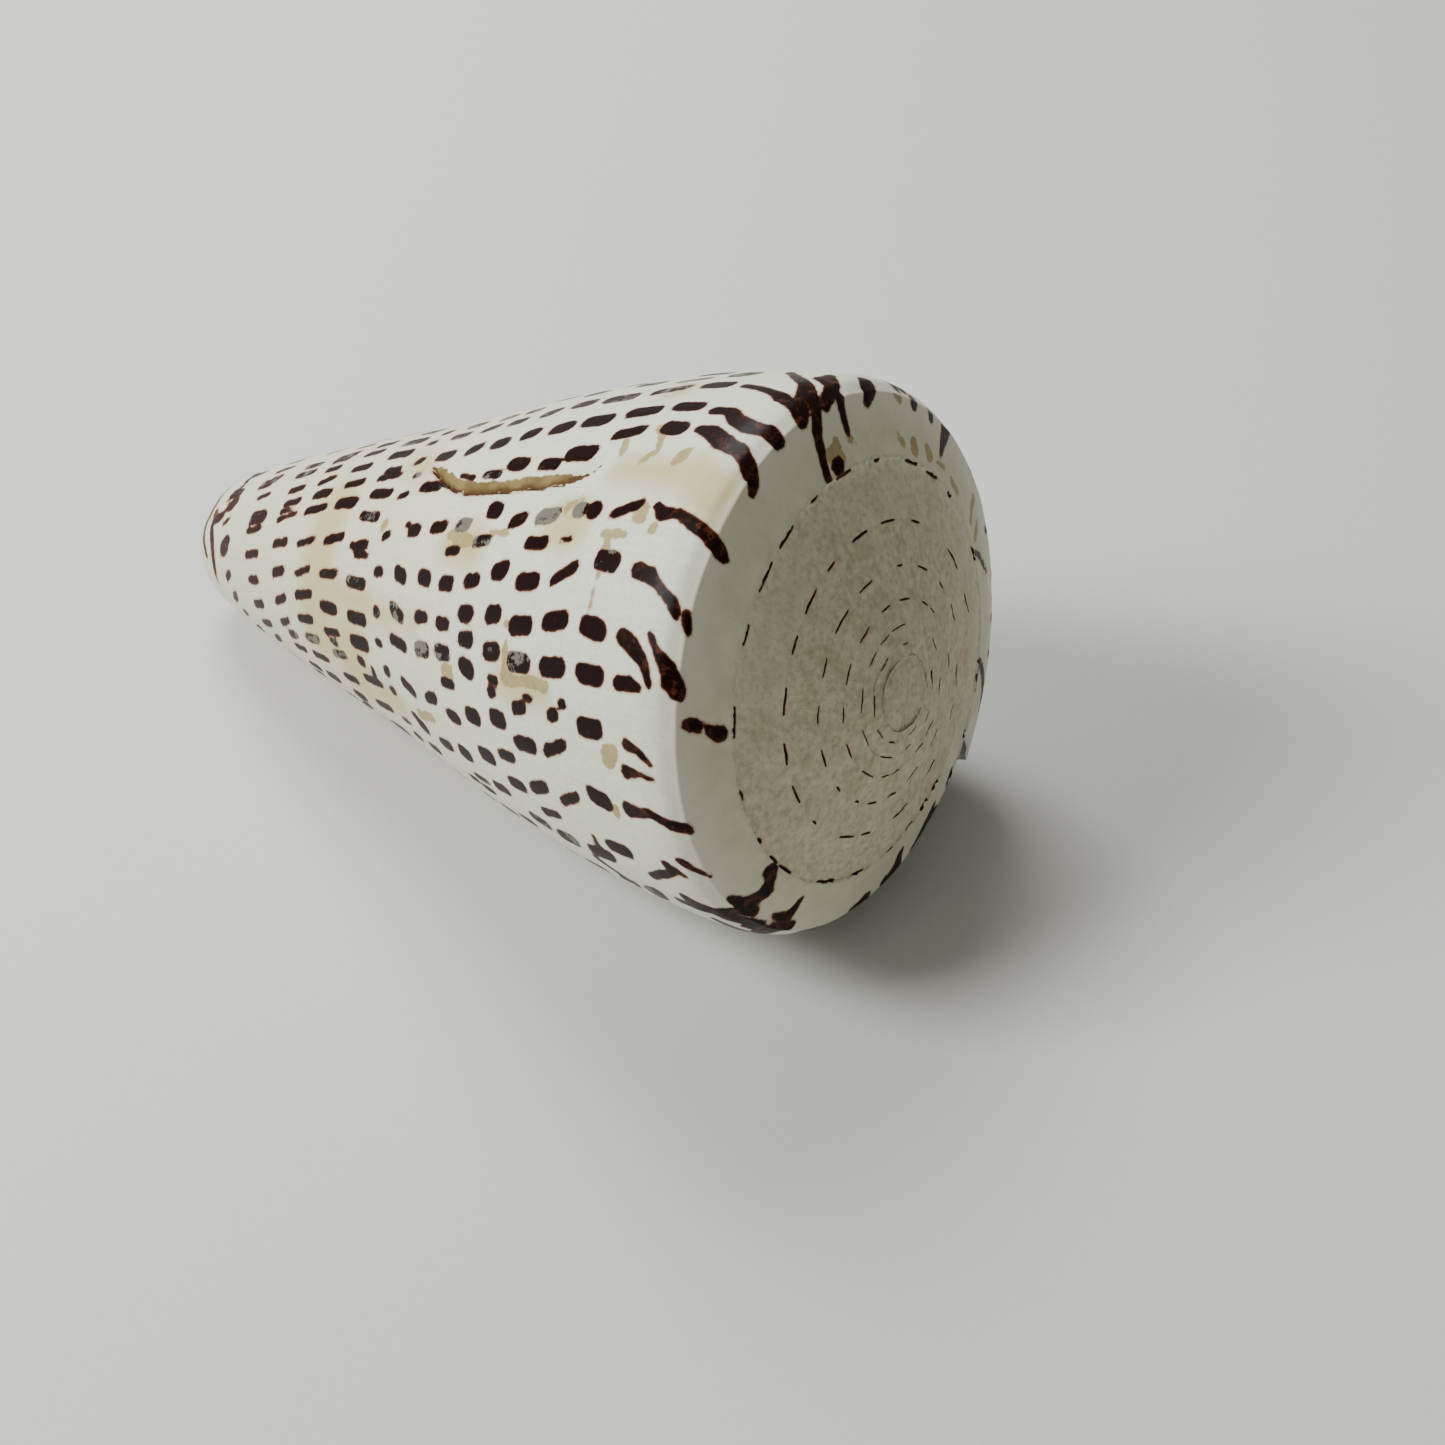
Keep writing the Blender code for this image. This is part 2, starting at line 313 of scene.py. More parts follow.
@dataclass
class Markings:
    """All the markings of one kind, and how far any place is from them.

    corner is how round a spot's corners are, as a share of its smaller half. The margins are how
    far from a marking its distance is still worked out.
    """

    spots: list[Spot] = field(default_factory=list)
    streaks: list[Streak] = field(default_factory=list)
    reach_mm: float = 3.0
    corner: float = 0.84
    spot_margin: float = 10.0
    streak_margin: float = 12.0
    share_margin: float = 0.04

    def add_spots(self, spots: tuple) -> None:
        """Spots of the side, given in the units they were read in."""
        for across, down, wide, high, lean, worn in spots:
            slant = lean / high * LEVELS / (TENTHS * MM_PER_SHARE)
            self.spots.append(Spot(FIRST_ANGLE + across / TENTHS, down / LEVELS, wide / TENTHS,
                                   high / LEVELS * MM_PER_SHARE, slant, worn))

    def add_side_flames(self, flames: tuple) -> None:
        """Flames of the side, given in the units they were read in."""
        self.add_flames(tuple(
            tuple((FIRST_ANGLE + x / TENTHS, y / LEVELS, half) for x, y, half in flame)
            for flame in flames))

    def add_flames(self, flames: tuple) -> None:
        """Flames given by coil angle and share."""
        self.streaks.extend(Streak(flame) for flame in flames)

    def measure(self, sheet: Sheet) -> tuple[Array, Array]:
        """Distance and wear at a sheet's points, with no marking on the inner skin."""
        if sheet.zone is Zone.INSIDE:
            return np.full(sheet.angle.size, self.reach_mm), np.zeros(sheet.angle.size)
        near, worn = self.distance(sheet.angle, sheet.share, sheet.radius)
        return near.ravel(), worn.ravel()

    def distance(self, angle: Array, share: Array, radius: Array) -> tuple[Array, Array]:
        """Distance to the nearest marking and how worn it is.

        Args:
            angle: coil angle in degrees.
            share: place along the generator, in lengths of 100 mm.
            radius: distance from the axis in metres.
        Returns:
            Signed distance in mm, negative inside a marking, and wear from 0 to 1.
        """
        best = np.full(angle.shape, self.reach_mm)
        worn = np.zeros(angle.shape)
        mm_per_degree = math.radians(1.0) * radius / MM
        for spot in self.spots:
            wide = spot.wide + abs(spot.lean) * spot.high + self.spot_margin
            high = (spot.high + self.reach_mm) / MM_PER_SHARE
            near = (np.abs(angle - spot.angle) < wide) & (np.abs(share - spot.share) < high)
            if not near.any():
                continue
            down = (share[near] - spot.share) * MM_PER_SHARE
            shift = angle[near] - spot.angle - spot.lean * down
            reach = self.box(shift * mm_per_degree[near], down, spot, mm_per_degree[near])
            self.keep(best, worn, near, reach, spot.worn)
        for streak in self.streaks:
            for one, two in zip(streak.points, streak.points[1:]):
                near = self.between(angle, one[0], two[0], self.streak_margin)
                near &= self.between(share, one[1], two[1], self.share_margin)
                if not near.any():
                    continue
                reach = self.bone(angle[near], share[near], mm_per_degree[near], one, two)
                self.keep(best, worn, near, reach, 0.0)
        return best, worn

    @staticmethod
    def between(value: Array, one: float, two: float, margin: float) -> Array:
        """Whether each value lies between two numbers or within a margin of them."""
        return (value > min(one, two) - margin) & (value < max(one, two) + margin)

    def box(self, across: Array, down: Array, spot: Spot, mm_per_degree: Array) -> Array:
        """Signed distance in mm to a rounded box whose sides lean."""
        half_wide = spot.wide * 0.5 * mm_per_degree
        half_high = spot.high * 0.5
        round_off = self.corner * np.minimum(half_wide, half_high)
        true_wide = 1.0 / np.hypot(1.0, spot.lean * mm_per_degree)
        qx = (np.abs(across) - half_wide) * true_wide + round_off
        qy = np.abs(down) - half_high + round_off
        outside = np.hypot(np.maximum(qx, 0.0), np.maximum(qy, 0.0))
        return outside + np.minimum(np.maximum(qx, qy), 0.0) - round_off

    @staticmethod
    def bone(angle: Array, share: Array, mm_per_degree: Array, one: tuple, two: tuple) -> Array:
        """Signed distance in mm to a tapered stroke between two points."""
        px = (angle - one[0]) * mm_per_degree
        py = (share - one[1]) * MM_PER_SHARE
        vx = (two[0] - one[0]) * mm_per_degree
        vy = (two[1] - one[1]) * MM_PER_SHARE
        along = np.clip((px * vx + py * vy) / (vx * vx + vy * vy + 1e-9), 0.0, 1.0)
        half = one[2] + (two[2] - one[2]) * along
        return np.hypot(px - along * vx, py - along * vy) - half

    @staticmethod
    def keep(best: Array, worn: Array, near: Array, reach: Array, wear: float) -> None:
        """Keep the nearer distance, with the wear of the marking that it belongs to."""
        old = best[near]
        closer = reach < old
        old[closer] = reach[closer]
        best[near] = old
        rubbed = worn[near]
        rubbed[closer] = wear
        worn[near] = rubbed


@dataclass(frozen=True)
class SutureDashes:
    """Short thin dashes along each suture, thinner towards the apex.

    rings holds, for each suture from the outermost, the angle and length of its dashes in degrees.
    """

    rings: tuple
    seed: int = 3
    half_mm: float = 0.17
    half_less: float = 0.012
    stout: tuple = (0.55, 1.15)
    end_share: float = 0.4

    def add_to(self, markings: Markings, coil: Coil) -> None:
        """Add the dashes.

        Args:
            markings: where the dashes are added.
            coil: the growth law, for the width of each ramp.
        """
        draw = random.Random(self.seed)
        for turn, ring in enumerate(self.rings, start=1):
            for angle, long in ring:
                half = (self.half_mm - self.half_less * turn) * draw.uniform(*self.stout)
                middle = angle + TURN * turn
                phi = coil.lip_angle - middle
                width = float(coil.crest(phi)[0] - coil.crest(phi - TURN)[0]) / MM
                level = -DASH_SHARE * width / MM_PER_SHARE
                thin = half * self.end_share
                markings.streaks.append(Streak((
                    (middle - long / 2, level, thin), (middle, level, half),
                    (middle + long / 2, level, thin))))


@dataclass(frozen=True)
class FarSide:
    """Spots and flames where the photo doesn't reach, in the same rows and strings.

    flame_path holds how far a flame's points have drifted, their level and their half width, each
    as a share of what is drawn for that flame.
    """

    seed: int = 7
    spot_spans: tuple = ((-22.0, 150.0), (215.0, 350.0))
    flame_spans: tuple = ((-22.0, 82.0), (250.0, 350.0))
    first_spot: float = 6.0
    spot_gaps: tuple = (8.8, 13.0)
    spot_sizes: tuple = (0.75, 1.15)
    lean_play: tuple = (-0.06, 0.1)
    level_play: float = 0.004
    level_ends: tuple = (0.1, 0.95)
    straight_at: float = 170.0
    climb: float = 0.33
    climb_more: float = 0.25
    clear_share: float = 0.034
    clear_deg: float = 3.0
    first_flame: float = 5.0
    flame_gaps: tuple = (8.0, 19.0)
    flame_drift: tuple = (0.5, 5.0)
    flame_foot: tuple = (0.055, 0.095)
    flame_stout: tuple = (0.6, 1.15)
    flame_path: tuple = ((0.0, 1.0, 0.5), (0.2, 0.7, 0.9), (1.0, 0.35, 0.8))
    top_drift: tuple = (0.8, 1.8)
    top_share: tuple = (-0.008, 0.012)
    top_half: float = 0.4
    fork_odds: float = 0.4
    fork_deg: float = 3.0
    fork_half: float = 0.5

    def add_to(self, markings: Markings) -> None:
        """Add the spots and then the flames, in one order of draws."""
        draw = random.Random(self.seed)
        seen = [(spot.angle, spot.share) for spot in markings.spots]
        for row in FAR_ROWS:
            for span in self.spot_spans:
                self.add_row(markings, draw, seen, row, span)
        for start, stop in self.flame_spans:
            angle = start + draw.uniform(0.0, self.first_flame)
            while angle < stop:
                self.add_flame(markings, draw, angle)
                angle += draw.uniform(*self.flame_gaps)

    def add_row(self, markings: Markings, draw: random.Random, seen: list, row: tuple,
                span: tuple) -> None:
        """Add one row of spots over one span.

        Args:
            markings: where the spots are added.
            draw: source of the random play.
            seen: angle and share of the spots that the photo shows.
            row: level, width, height and lean.
            span: first and last coil angle.
        """
        down, wide, high, lean = row
        climb = self.climb + self.climb_more * down / LEVELS
        angle = span[0] + draw.uniform(0.0, self.first_spot)
        while angle < span[1]:
            level = (down - climb * (angle - self.straight_at)) / LEVELS
            level += draw.uniform(-self.level_play, self.level_play)
            size = draw.uniform(*self.spot_sizes)
            slant = lean + draw.uniform(*self.lean_play)
            inner = self.level_ends[0] < level < self.level_ends[1]
            if inner and self.is_free(angle, level, wide, seen):
                markings.spots.append(Spot(angle, level, wide * size, high * size, slant))
            angle += draw.uniform(*self.spot_gaps)

    def is_free(self, angle: float, level: float, wide: float, seen: list) -> bool:
        """Whether a place is clear of the spots that the photo shows."""
        beside = [a for a, s in seen if abs(s - level) < self.clear_share]
        gap = wide + self.clear_deg
        return not beside or angle < min(beside) - gap or angle > max(beside) + gap

    def add_flame(self, markings: Markings, draw: random.Random, angle: float) -> None:
        """Add one flame from the side up to the crest, sometimes forked.

        Args:
            markings: where the flame is added.
            draw: source of the random play.
            angle: coil angle of its foot.
        """
        drift = draw.uniform(*self.flame_drift)
        foot = draw.uniform(*self.flame_foot)
        stout = draw.uniform(*self.flame_stout)
        rising = tuple((angle + along * drift, foot * level, half * stout)
                       for along, level, half in self.flame_path)
        top = (angle + draw.uniform(*self.top_drift) * drift, draw.uniform(*self.top_share),
               self.top_half)
        markings.streaks.append(Streak(rising + (top,)))
        if draw.random() < self.fork_odds:
            side = draw.choice((-self.fork_deg, self.fork_deg))
            bend, level = rising[-1][:2]
            markings.streaks.append(Streak((
                (bend, level, self.fork_half),
                (bend + side, self.top_share[1], self.fork_half))))


# Markings read off the photo: tenths of a degree past FIRST_ANGLE, level out of LEVELS
# down the side, width, height, sideways lean from top to bottom, and wear
SHOULDER_SPOTS = (
    (175, 160, 60, 38, 10, .5), (270, 158, 38, 46, 6, .1), (378, 153, 36, 48, 4, 0),
    (452, 142, 42, 42, -4, 0), (662, 134, 24, 44, 36, 0), (771, 131, 44, 40, 0, .2),
    (903, 127, 42, 44, -8, 0), (993, 123, 40, 46, 0, 0), (1100, 121, 42, 42, 8, 0),
    (1258, 122, 44, 40, -10, 0), (1398, 122, 40, 44, 4, 0), (1565, 115, 70, 34, 24, .4),
    (222, 217, 28, 44, 26, .6), (290, 222, 32, 52, 30, .45), (397, 216, 36, 52, 12, 0),
    (470, 207, 34, 46, 22, 0), (671, 184, 38, 24, 2, 0), (675, 206, 36, 22, 0, 1),
    (740, 208, 12, 22, 8, 0), (810, 193, 28, 42, 46, 0), (907, 191, 40, 44, 18, 0),
    (1000, 187, 42, 46, 12, 0), (1068, 167, 20, 16, 4, 0), (1098, 184, 30, 22, 14, 0),
    (1172, 186, 30, 44, 42, 0), (1296, 181, 28, 42, 46, 0),
    (215, 290, 40, 44, 6, .4), (315, 293, 42, 54, 6, .3), (422, 282, 42, 50, 6, 0),
    (532, 261, 44, 52, 4, 0), (692, 259, 40, 42, 12, .85), (757, 258, 30, 42, 8, 0),
    (840, 253, 38, 42, 8, 0), (934, 251, 42, 44, 14, 0), (1012, 248, 42, 44, 4, .5),
    (1082, 229, 18, 20, 8, 0), (1110, 247, 32, 28, 16, 0), (1195, 243, 38, 44, 12, 0),
    (1304, 238, 36, 40, 32, 0), (1381, 236, 26, 42, 22, 0), (1463, 230, 44, 40, 10, .4),
)
UPPER_SPOTS = (
    (561, 305, 34, 38, 0, 0), (707, 311, 40, 30, 14, 0), (828, 309, 42, 32, 14, 0),
    (925, 305, 42, 32, 10, 0), (1007, 302, 42, 34, 10, .1), (1070, 297, 22, 22, 4, .1),
    (1099, 300, 28, 18, 6, 0), (1160, 293, 44, 34, 4, 0), (1254, 290, 32, 36, 10, 0),
    (1336, 288, 36, 36, 6, 0), (1453, 280, 34, 38, -8, .4),
    (225, 375, 50, 34, 0, .4), (318, 353, 44, 38, 8, .25), (436, 337, 44, 38, 10, 0),
    (556, 366, 40, 40, -4, 0), (683, 365, 44, 30, -8, 0), (766, 362, 30, 34, 10, .5),
    (862, 360, 36, 30, 10, 0), (940, 360, 40, 32, 8, 0), (1000, 356, 40, 32, 10, 0),
    (1067, 352, 46, 32, -8, 0), (1185, 347, 44, 32, 2, 0), (1291, 338, 46, 34, 2, 0),
    (1399, 338, 34, 34, 6, .1),
    (343, 400, 48, 28, 16, .3), (447, 390, 42, 30, 14, 0), (584, 405, 26, 36, 0, .3),
    (728, 414, 38, 30, 4, .9), (798, 415, 26, 30, 8, 0), (881, 411, 38, 32, 4, 0),
    (980, 407, 34, 30, 2, 0), (1052, 405, 38, 34, 4, .45), (1127, 395, 28, 30, 6, 0),
    (1218, 393, 36, 30, 0, 0), (1334, 394, 48, 28, 0, 0), (1418, 385, 24, 32, 0, .3),
    (1459, 382, 24, 26, 4, .1), (1450, 411, 20, 20, 0, .3),
    (292, 452, 36, 28, 4, .6), (365, 451, 38, 32, 8, .25), (470, 438, 42, 32, 4, 0),
    (586, 455, 16, 38, -16, 0), (737, 463, 38, 34, 8, 0), (878, 461, 42, 32, -8, 0),
    (982, 456, 34, 32, 8, 0), (1067, 452, 42, 34, 8, .6), (1198, 441, 36, 30, 18, 0),
    (1352, 441, 38, 32, 10, 0),
    (296, 498, 34, 30, 4, .6), (366, 500, 36, 32, 18, .2), (475, 486, 40, 30, 22, 0),
    (602, 529, 40, 44, 6, .1), (752, 515, 40, 28, 0, 0), (736, 534, 20, 14, -4, 0),
    (884, 518, 42, 32, -20, 0), (992, 516, 42, 36, -22, .5), (1079, 510, 34, 42, -8, 0),
    (1206, 497, 34, 34, -22, 0), (1340, 492, 42, 24, -14, 0), (1313, 505, 22, 14, 0, .2),
    (1440, 495, 36, 28, 8, .4),
)
MIDDLE_SPOTS = (
    (290, 559, 44, 34, 0, .45), (368, 558, 40, 36, 0, .2), (483, 543, 44, 38, 0, 0),
    (555, 575, 20, 16, 6, .6), (632, 578, 26, 22, 10, 0), (773, 575, 32, 18, 10, 0),
    (890, 571, 32, 22, 2, 0), (1014, 566, 38, 18, 0, .35), (1109, 561, 28, 18, 4, 0),
    (1197, 549, 42, 16, 4, .25), (1264, 547, 32, 18, 6, 0), (1387, 545, 28, 22, 8, .3),
    (297, 613, 40, 18, 4, .2), (380, 611, 34, 18, 2, 0), (488, 595, 36, 18, 2, 0),
    (228, 665, 60, 40, 0, .4), (335, 662, 52, 44, 4, .4), (428, 656, 46, 46, 6, 0),
    (520, 640, 36, 34, 0, 0), (549, 637, 26, 50, 14, 0), (622, 632, 38, 48, 4, 0),
    (712, 632, 36, 46, -4, .3), (815, 626, 40, 30, 10, 0), (847, 621, 24, 34, 2, 0),
    (821, 645, 26, 16, 0, 0), (943, 621, 40, 48, 2, .25), (1061, 615, 42, 48, 8, 0),
    (1146, 612, 50, 48, 8, 0), (1218, 616, 38, 20, 0, 0), (1234, 589, 42, 10, 2, 0),
    (1280, 598, 32, 50, 18, 0), (1394, 600, 38, 46, 28, 0), (1530, 600, 70, 44, 20, .45),
    (306, 728, 40, 34, 26, .15), (385, 726, 40, 34, 22, .15), (485, 720, 42, 38, 18, 0),
    (570, 707, 32, 42, 16, 0), (660, 700, 50, 48, 10, 0), (806, 694, 34, 44, 28, 0),
    (937, 690, 34, 46, 24, .2), (1064, 686, 46, 44, 6, 0), (1158, 684, 30, 42, 18, 0),
    (1196, 681, 28, 20, 8, .6), (1243, 673, 34, 38, 24, .5), (1349, 667, 36, 40, 18, 0),
    (1452, 672, 44, 32, 12, .2),
)
LOWER_SPOTS = (
    (347, 781, 30, 22, 16, .3), (372, 788, 50, 36, 14, .4), (405, 790, 34, 34, 18, .1),
    (470, 788, 34, 30, 22, 0), (543, 780, 32, 34, 36, 0), (616, 769, 46, 38, 14, 0),
    (691, 765, 38, 50, 30, 0), (835, 760, 28, 42, 34, 0), (958, 757, 28, 38, 40, .1),
    (1053, 751, 38, 44, 34, 0), (1157, 750, 38, 42, 30, 0), (1240, 741, 44, 38, 24, .45),
    (1326, 736, 34, 42, 14, 0), (1440, 732, 48, 34, 16, 0),
    (410, 849, 44, 36, 16, .35), (470, 839, 40, 18, 16, .2), (484, 857, 44, 24, 14, .3),
    (582, 841, 34, 34, 22, 0), (657, 832, 38, 38, 20, .35), (702, 839, 26, 26, 16, .3),
    (734, 830, 26, 46, 44, 0), (860, 824, 38, 38, 26, 0), (993, 819, 44, 34, 36, 0),
    (1120, 813, 40, 36, 52, 0), (1230, 811, 40, 32, 56, 0), (1286, 799, 44, 26, 26, .4),
    (1358, 793, 34, 34, 24, 0), (1457, 780, 36, 32, 14, .3),
    (470, 919, 40, 22, 20, .2), (502, 930, 50, 34, 20, .4), (532, 934, 36, 30, 18, .2),
    (610, 918, 34, 28, 34, 0), (748, 904, 84, 40, 20, .25), (817, 903, 36, 40, 36, 0),
    (950, 896, 40, 36, 26, 0), (1086, 888, 46, 30, 22, 0), (1217, 882, 46, 32, 44, 0),
    (1335, 879, 50, 32, 46, 0), (1428, 868, 50, 24, 56, .2),
    (650, 996, 120, 22, 40, 0), (782, 990, 50, 14, 44, 0), (950, 979, 136, 26, 60, .15),
    (1145, 969, 60, 20, 66, 0), (1286, 961, 70, 20, 74, 0), (1404, 952, 60, 18, 60, 0),
    (560, 1002, 70, 30, 30, .1), (760, 1018, 90, 26, 60, .2), (330, 1000, 90, 26, 30, .3),
)
# Flames and lines in the same units, with their half width in mm at each point
SIDE_FLAMES = (
    ((275, 115, .5), (283, 88, .5), (300, 62, .55), (316, 42, .9), (330, 18, .7), (345, 0, .8)),
    ((240, 42, .7), (270, 30, .7), (300, 20, .6), (340, 0, .7)),
    ((160, 42, .7), (190, 22, .7), (230, 10, .7), (265, 0, .7)),
    ((390, 108, .7), (388, 86, .7), (418, 60, .9), (428, 40, 1.0), (425, 18, .8), (432, 0, .6)),
    ((452, 103, .6), (456, 82, .9), (480, 58, 1.1), (488, 42, 1.0), (492, 28, .9), (508, 12, .8),
     (530, 0, .8)),
    ((646, 90, .5), (662, 78, .7), (655, 55, .5), (664, 40, .6), (676, 16, .7), (690, 0, .6)),
    ((778, 82, .8), (783, 60, .8), (800, 44, .5), (822, 22, .5), (846, 14, .4)),
    ((905, 80, .8), (918, 62, .9), (942, 44, .6), (985, 32, .25)),
    ((890, 40, .3), (918, 28, .4), (945, 14, .8), (985, 0, .9)),
    ((994, 78, .7), (990, 62, .8), (993, 46, .4)),
    ((1110, 63, .55), (1116, 46, .4), (1140, 30, .2)),
    ((1167, 66, .7), (1166, 44, .2), (1172, 28, .2)),
    ((1258, 74, .9), (1256, 56, .6), (1250, 42, .5), (1266, 26, .5), (1285, 4, .6)),
    ((1388, 46, .5), (1410, 40, .5), (1430, 62, .6), (1455, 84, .5)),
    ((1400, 36, .5), (1418, 26, .25)),
    ((1500, 50, .5), (1530, 44, 1.0), (1555, 26, .9), (1620, 8, .8), (1680, 0, .5)),
    ((1610, 40, .4), (1680, 36, .6), (1800, 28, .6)),
    ((1392, 165, .3), (1430, 166, .4), (1465, 184, .4), (1500, 194, .3)),
    ((1500, 190, .4), (1540, 170, .6), (1588, 156, .5)),
    ((1460, 676, .5), (1510, 668, .6), (1560, 690, .6), (1600, 704, .5)),
    ((100, 1040, .5), (200, 1029, .4), (300, 1015, .4), (400, 1008, .3), (450, 1004, .3)),
    ((462, 1003, .3), (540, 1010, .5), (620, 1018, .3)),
    ((700, 1034, .3), (850, 1029, .4), (950, 1020, .5), (1100, 1014, .4), (1270, 1011, .2)),
    ((420, 1052, .3), (700, 1053, .4), (900, 1059, .5), (1000, 1050, .4), (1090, 1036, .2)),
)
# Rim and ramp of the last turn: coil angle in degrees, share, and half width in mm
RIM_FLAMES = (
    ((99, .096, .4), (105, .06, .6), (108, .036, .7), (113, .004, .7), (116, -.02, .6),
     (117.5, -.04, .5), (119, -.056, .5)),
    ((103, .04, .6), (105, .012, .7), (106, -.011, .5), (106.3, -.034, .3)),
    ((112.5, -.052, .5), (114.5, -.055, .8)),
    ((126, .012, .9), (126.3, -.002, .5)),
    ((135, .01, .9), (137.5, -.006, .7), (139.5, -.011, .35)),
    ((152, .01, .7), (153.5, -.006, .8), (154, -.014, .6)),
    ((168, .004, .5), (171, -.002, .3)),
    ((181, .008, .9), (183, -.002, .6), (184, -.004, .3)),
    ((212.5, .004, .6), (213.5, -.002, .3)),
    ((221, .02, .4), (227, -.002, .12)),
    ((189.5, -.013, .6), (190, -.021, .7)),
    ((191.7, -.038, .7), (192.3, -.045, .8)),
    ((238, .064, .6), (240, .016, .8), (243, -.006, .8), (247, -.009, .5)),
    ((236.5, -.004, .3), (241, -.009, .7), (245, -.029, .8), (242.5, -.043, .6),
     (240, -.048, .8)),
    ((250, .012, .5), (257, 0, .8), (263, -.006, .5)),
    ((253.5, -.012, .3), (260, -.018, .6), (260, -.035, .35)),
    ((293.5, -.004, .6), (288, .002, .6)),
    ((308, -.026, .4), (306.5, -.006, 1.0), (301, .003, .6)),
    ((326, -.014, .5), (321, -.002, 1.1), (315, .004, .7)),
    ((337, -.003, .5), (334, .002, .4)),
    ((-14, -.028, .3), (-14.5, -.01, .5)),
    ((7, -.074, .4), (3, -.035, .6), (-1, -.01, .8), (-5, -.001, .6)),
    ((5, -.074, .3), (-1, -.072, .35)),
    ((37, -.066, .25), (33, -.05, .35), (26, -.027, .25)),
    ((63, .008, .8), (64, -.004, .9), (66, -.037, .3)),
    ((71, .003, .5), (71, -.007, .5)),
    ((78, .004, .6), (78.5, -.005, .6)),
    ((93, .016, .9), (95, .002, 1.0), (97, -.01, .5)),
)
# Dashes along each suture, outermost first: coil angle and length in degrees
DASH_RINGS = (
    ((38, 4), (60, 2), (71, 5), (82, 6), (98, 2), (113, 6), (126, 3), (140, 7), (152, 8),
     (167.5, 5), (190, 8), (211, 3), (228, 2), (238, 4), (245, 6), (264, 4), (269, 4), (282.5, 5),
     (299, 3), (311, 3), (320, 4), (327.5, 4)),
    ((31, 7), (51, 10), (82, 5), (99.5, 8), (116, 8), (134, 4), (149, 9), (165, 6), (184.5, 9),
     (204, 8), (222, 8), (240, 2), (264, 10), (277.5, 5), (301, 10), (326, 8), (352, 6)),
    ((39, 9), (57, 4), (77, 8), (96, 3), (124, 9), (146, 12), (169, 8), (191, 8), (214, 9),
     (237, 3), (257, 3), (271, 7), (289, 6), (309.5, 10), (335, 9), (8, 8)),
    ((61, 5), (71, 6), (95, 10), (116, 8), (141, 11), (168, 12), (194, 9), (221, 11), (251, 13),
     (275, 9), (287, 9), (318, 8), (335, 10), (20, 9)),
    ((8, 12), (45, 12), (107, 18), (128, 12), (149, 12), (185, 20), (221.5, 18), (264.5, 16),
     (301, 8), (340, 10)),
    ((101, 8), (143, 15), (192, 22), (232, 15), (264, 9), (20, 12), (310, 14)),
)
# Tan stains left where the old film of the shell has stuck, in the same units as the spots
STAIN_PATCHES = (
    (529, 98, 38, 14, 8, 0), (664, 108, 46, 16, 0, 0), (692, 82, 22, 12, 4, 0),
    (1146, 90, 50, 26, 10, 0), (1275, 98, 40, 10, 0, 0), (1092, 394, 34, 26, 0, 0),
    (740, 590, 40, 16, 0, 0), (1280, 470, 34, 44, 20, 0),
)
STAIN_STREAKS = (
    ((456, 163, .5), (480, 149, .6), (510, 140, .5), (530, 145, .5), (552, 153, .4)),
    ((495, 200, .4), (520, 195, .4), (546, 192, .3)), ((716, 118, .3), (718, 152, .3)),
    ((738, 138, .45), (800, 137, .4), (870, 137, .3)), ((1046, 196, .6), (1052, 276, .5)),
    ((650, 212, .5), (668, 232, .6), (690, 228, .3)), ((940, 278, .35), (1060, 274, .4)),
    ((768, 372, .6), (772, 396, .7), (752, 430, .4)), ((740, 318, .4), (742, 350, .4)),
)
RAMP_STAINS = (
    ((111, -.035, .35), (112, -.048, .8), (114, -.045, .8)), ((87, -.040, .35), (85, -.05, .4)),
    ((80, -.043, .5), (80, -.05, .6)), ((73, -.042, .45), (72, -.048, .5)),
    ((45, -.02, .35), (44, -.05, .4)), ((40, -.03, .3), (39, -.055, .5)),
    ((60, -.05, .3), (55, -.052, .35)), ((64, -.047, .4), (68, -.05, .3)),
    ((86, 0, .4), (84, -.004, .4)), ((107, -.036, .3), (105, -.042, .3)),
)
# Wide yellow tint under the last layer, same units, with softer edges
TINT_PATCHES = (
    (1010, 520, 60, 110, 0, 0), (1000, 650, 90, 150, 0, 0), (510, 585, 110, 60, -60, 0),
    (1316, 570, 60, 80, 30, 0), (600, 20, 90, 110, -60, 0), (570, 130, 40, 120, 0, 0),
    (940, 720, 700, 60, 0, 0), (1060, 235, 50, 90, 0, 0), (700, 225, 90, 60, 0, 0),
    (300, 205, 60, 18, 10, 0), (1240, 640, 300, 70, 40, 0), (780, 400, 70, 80, 0, 0),
)


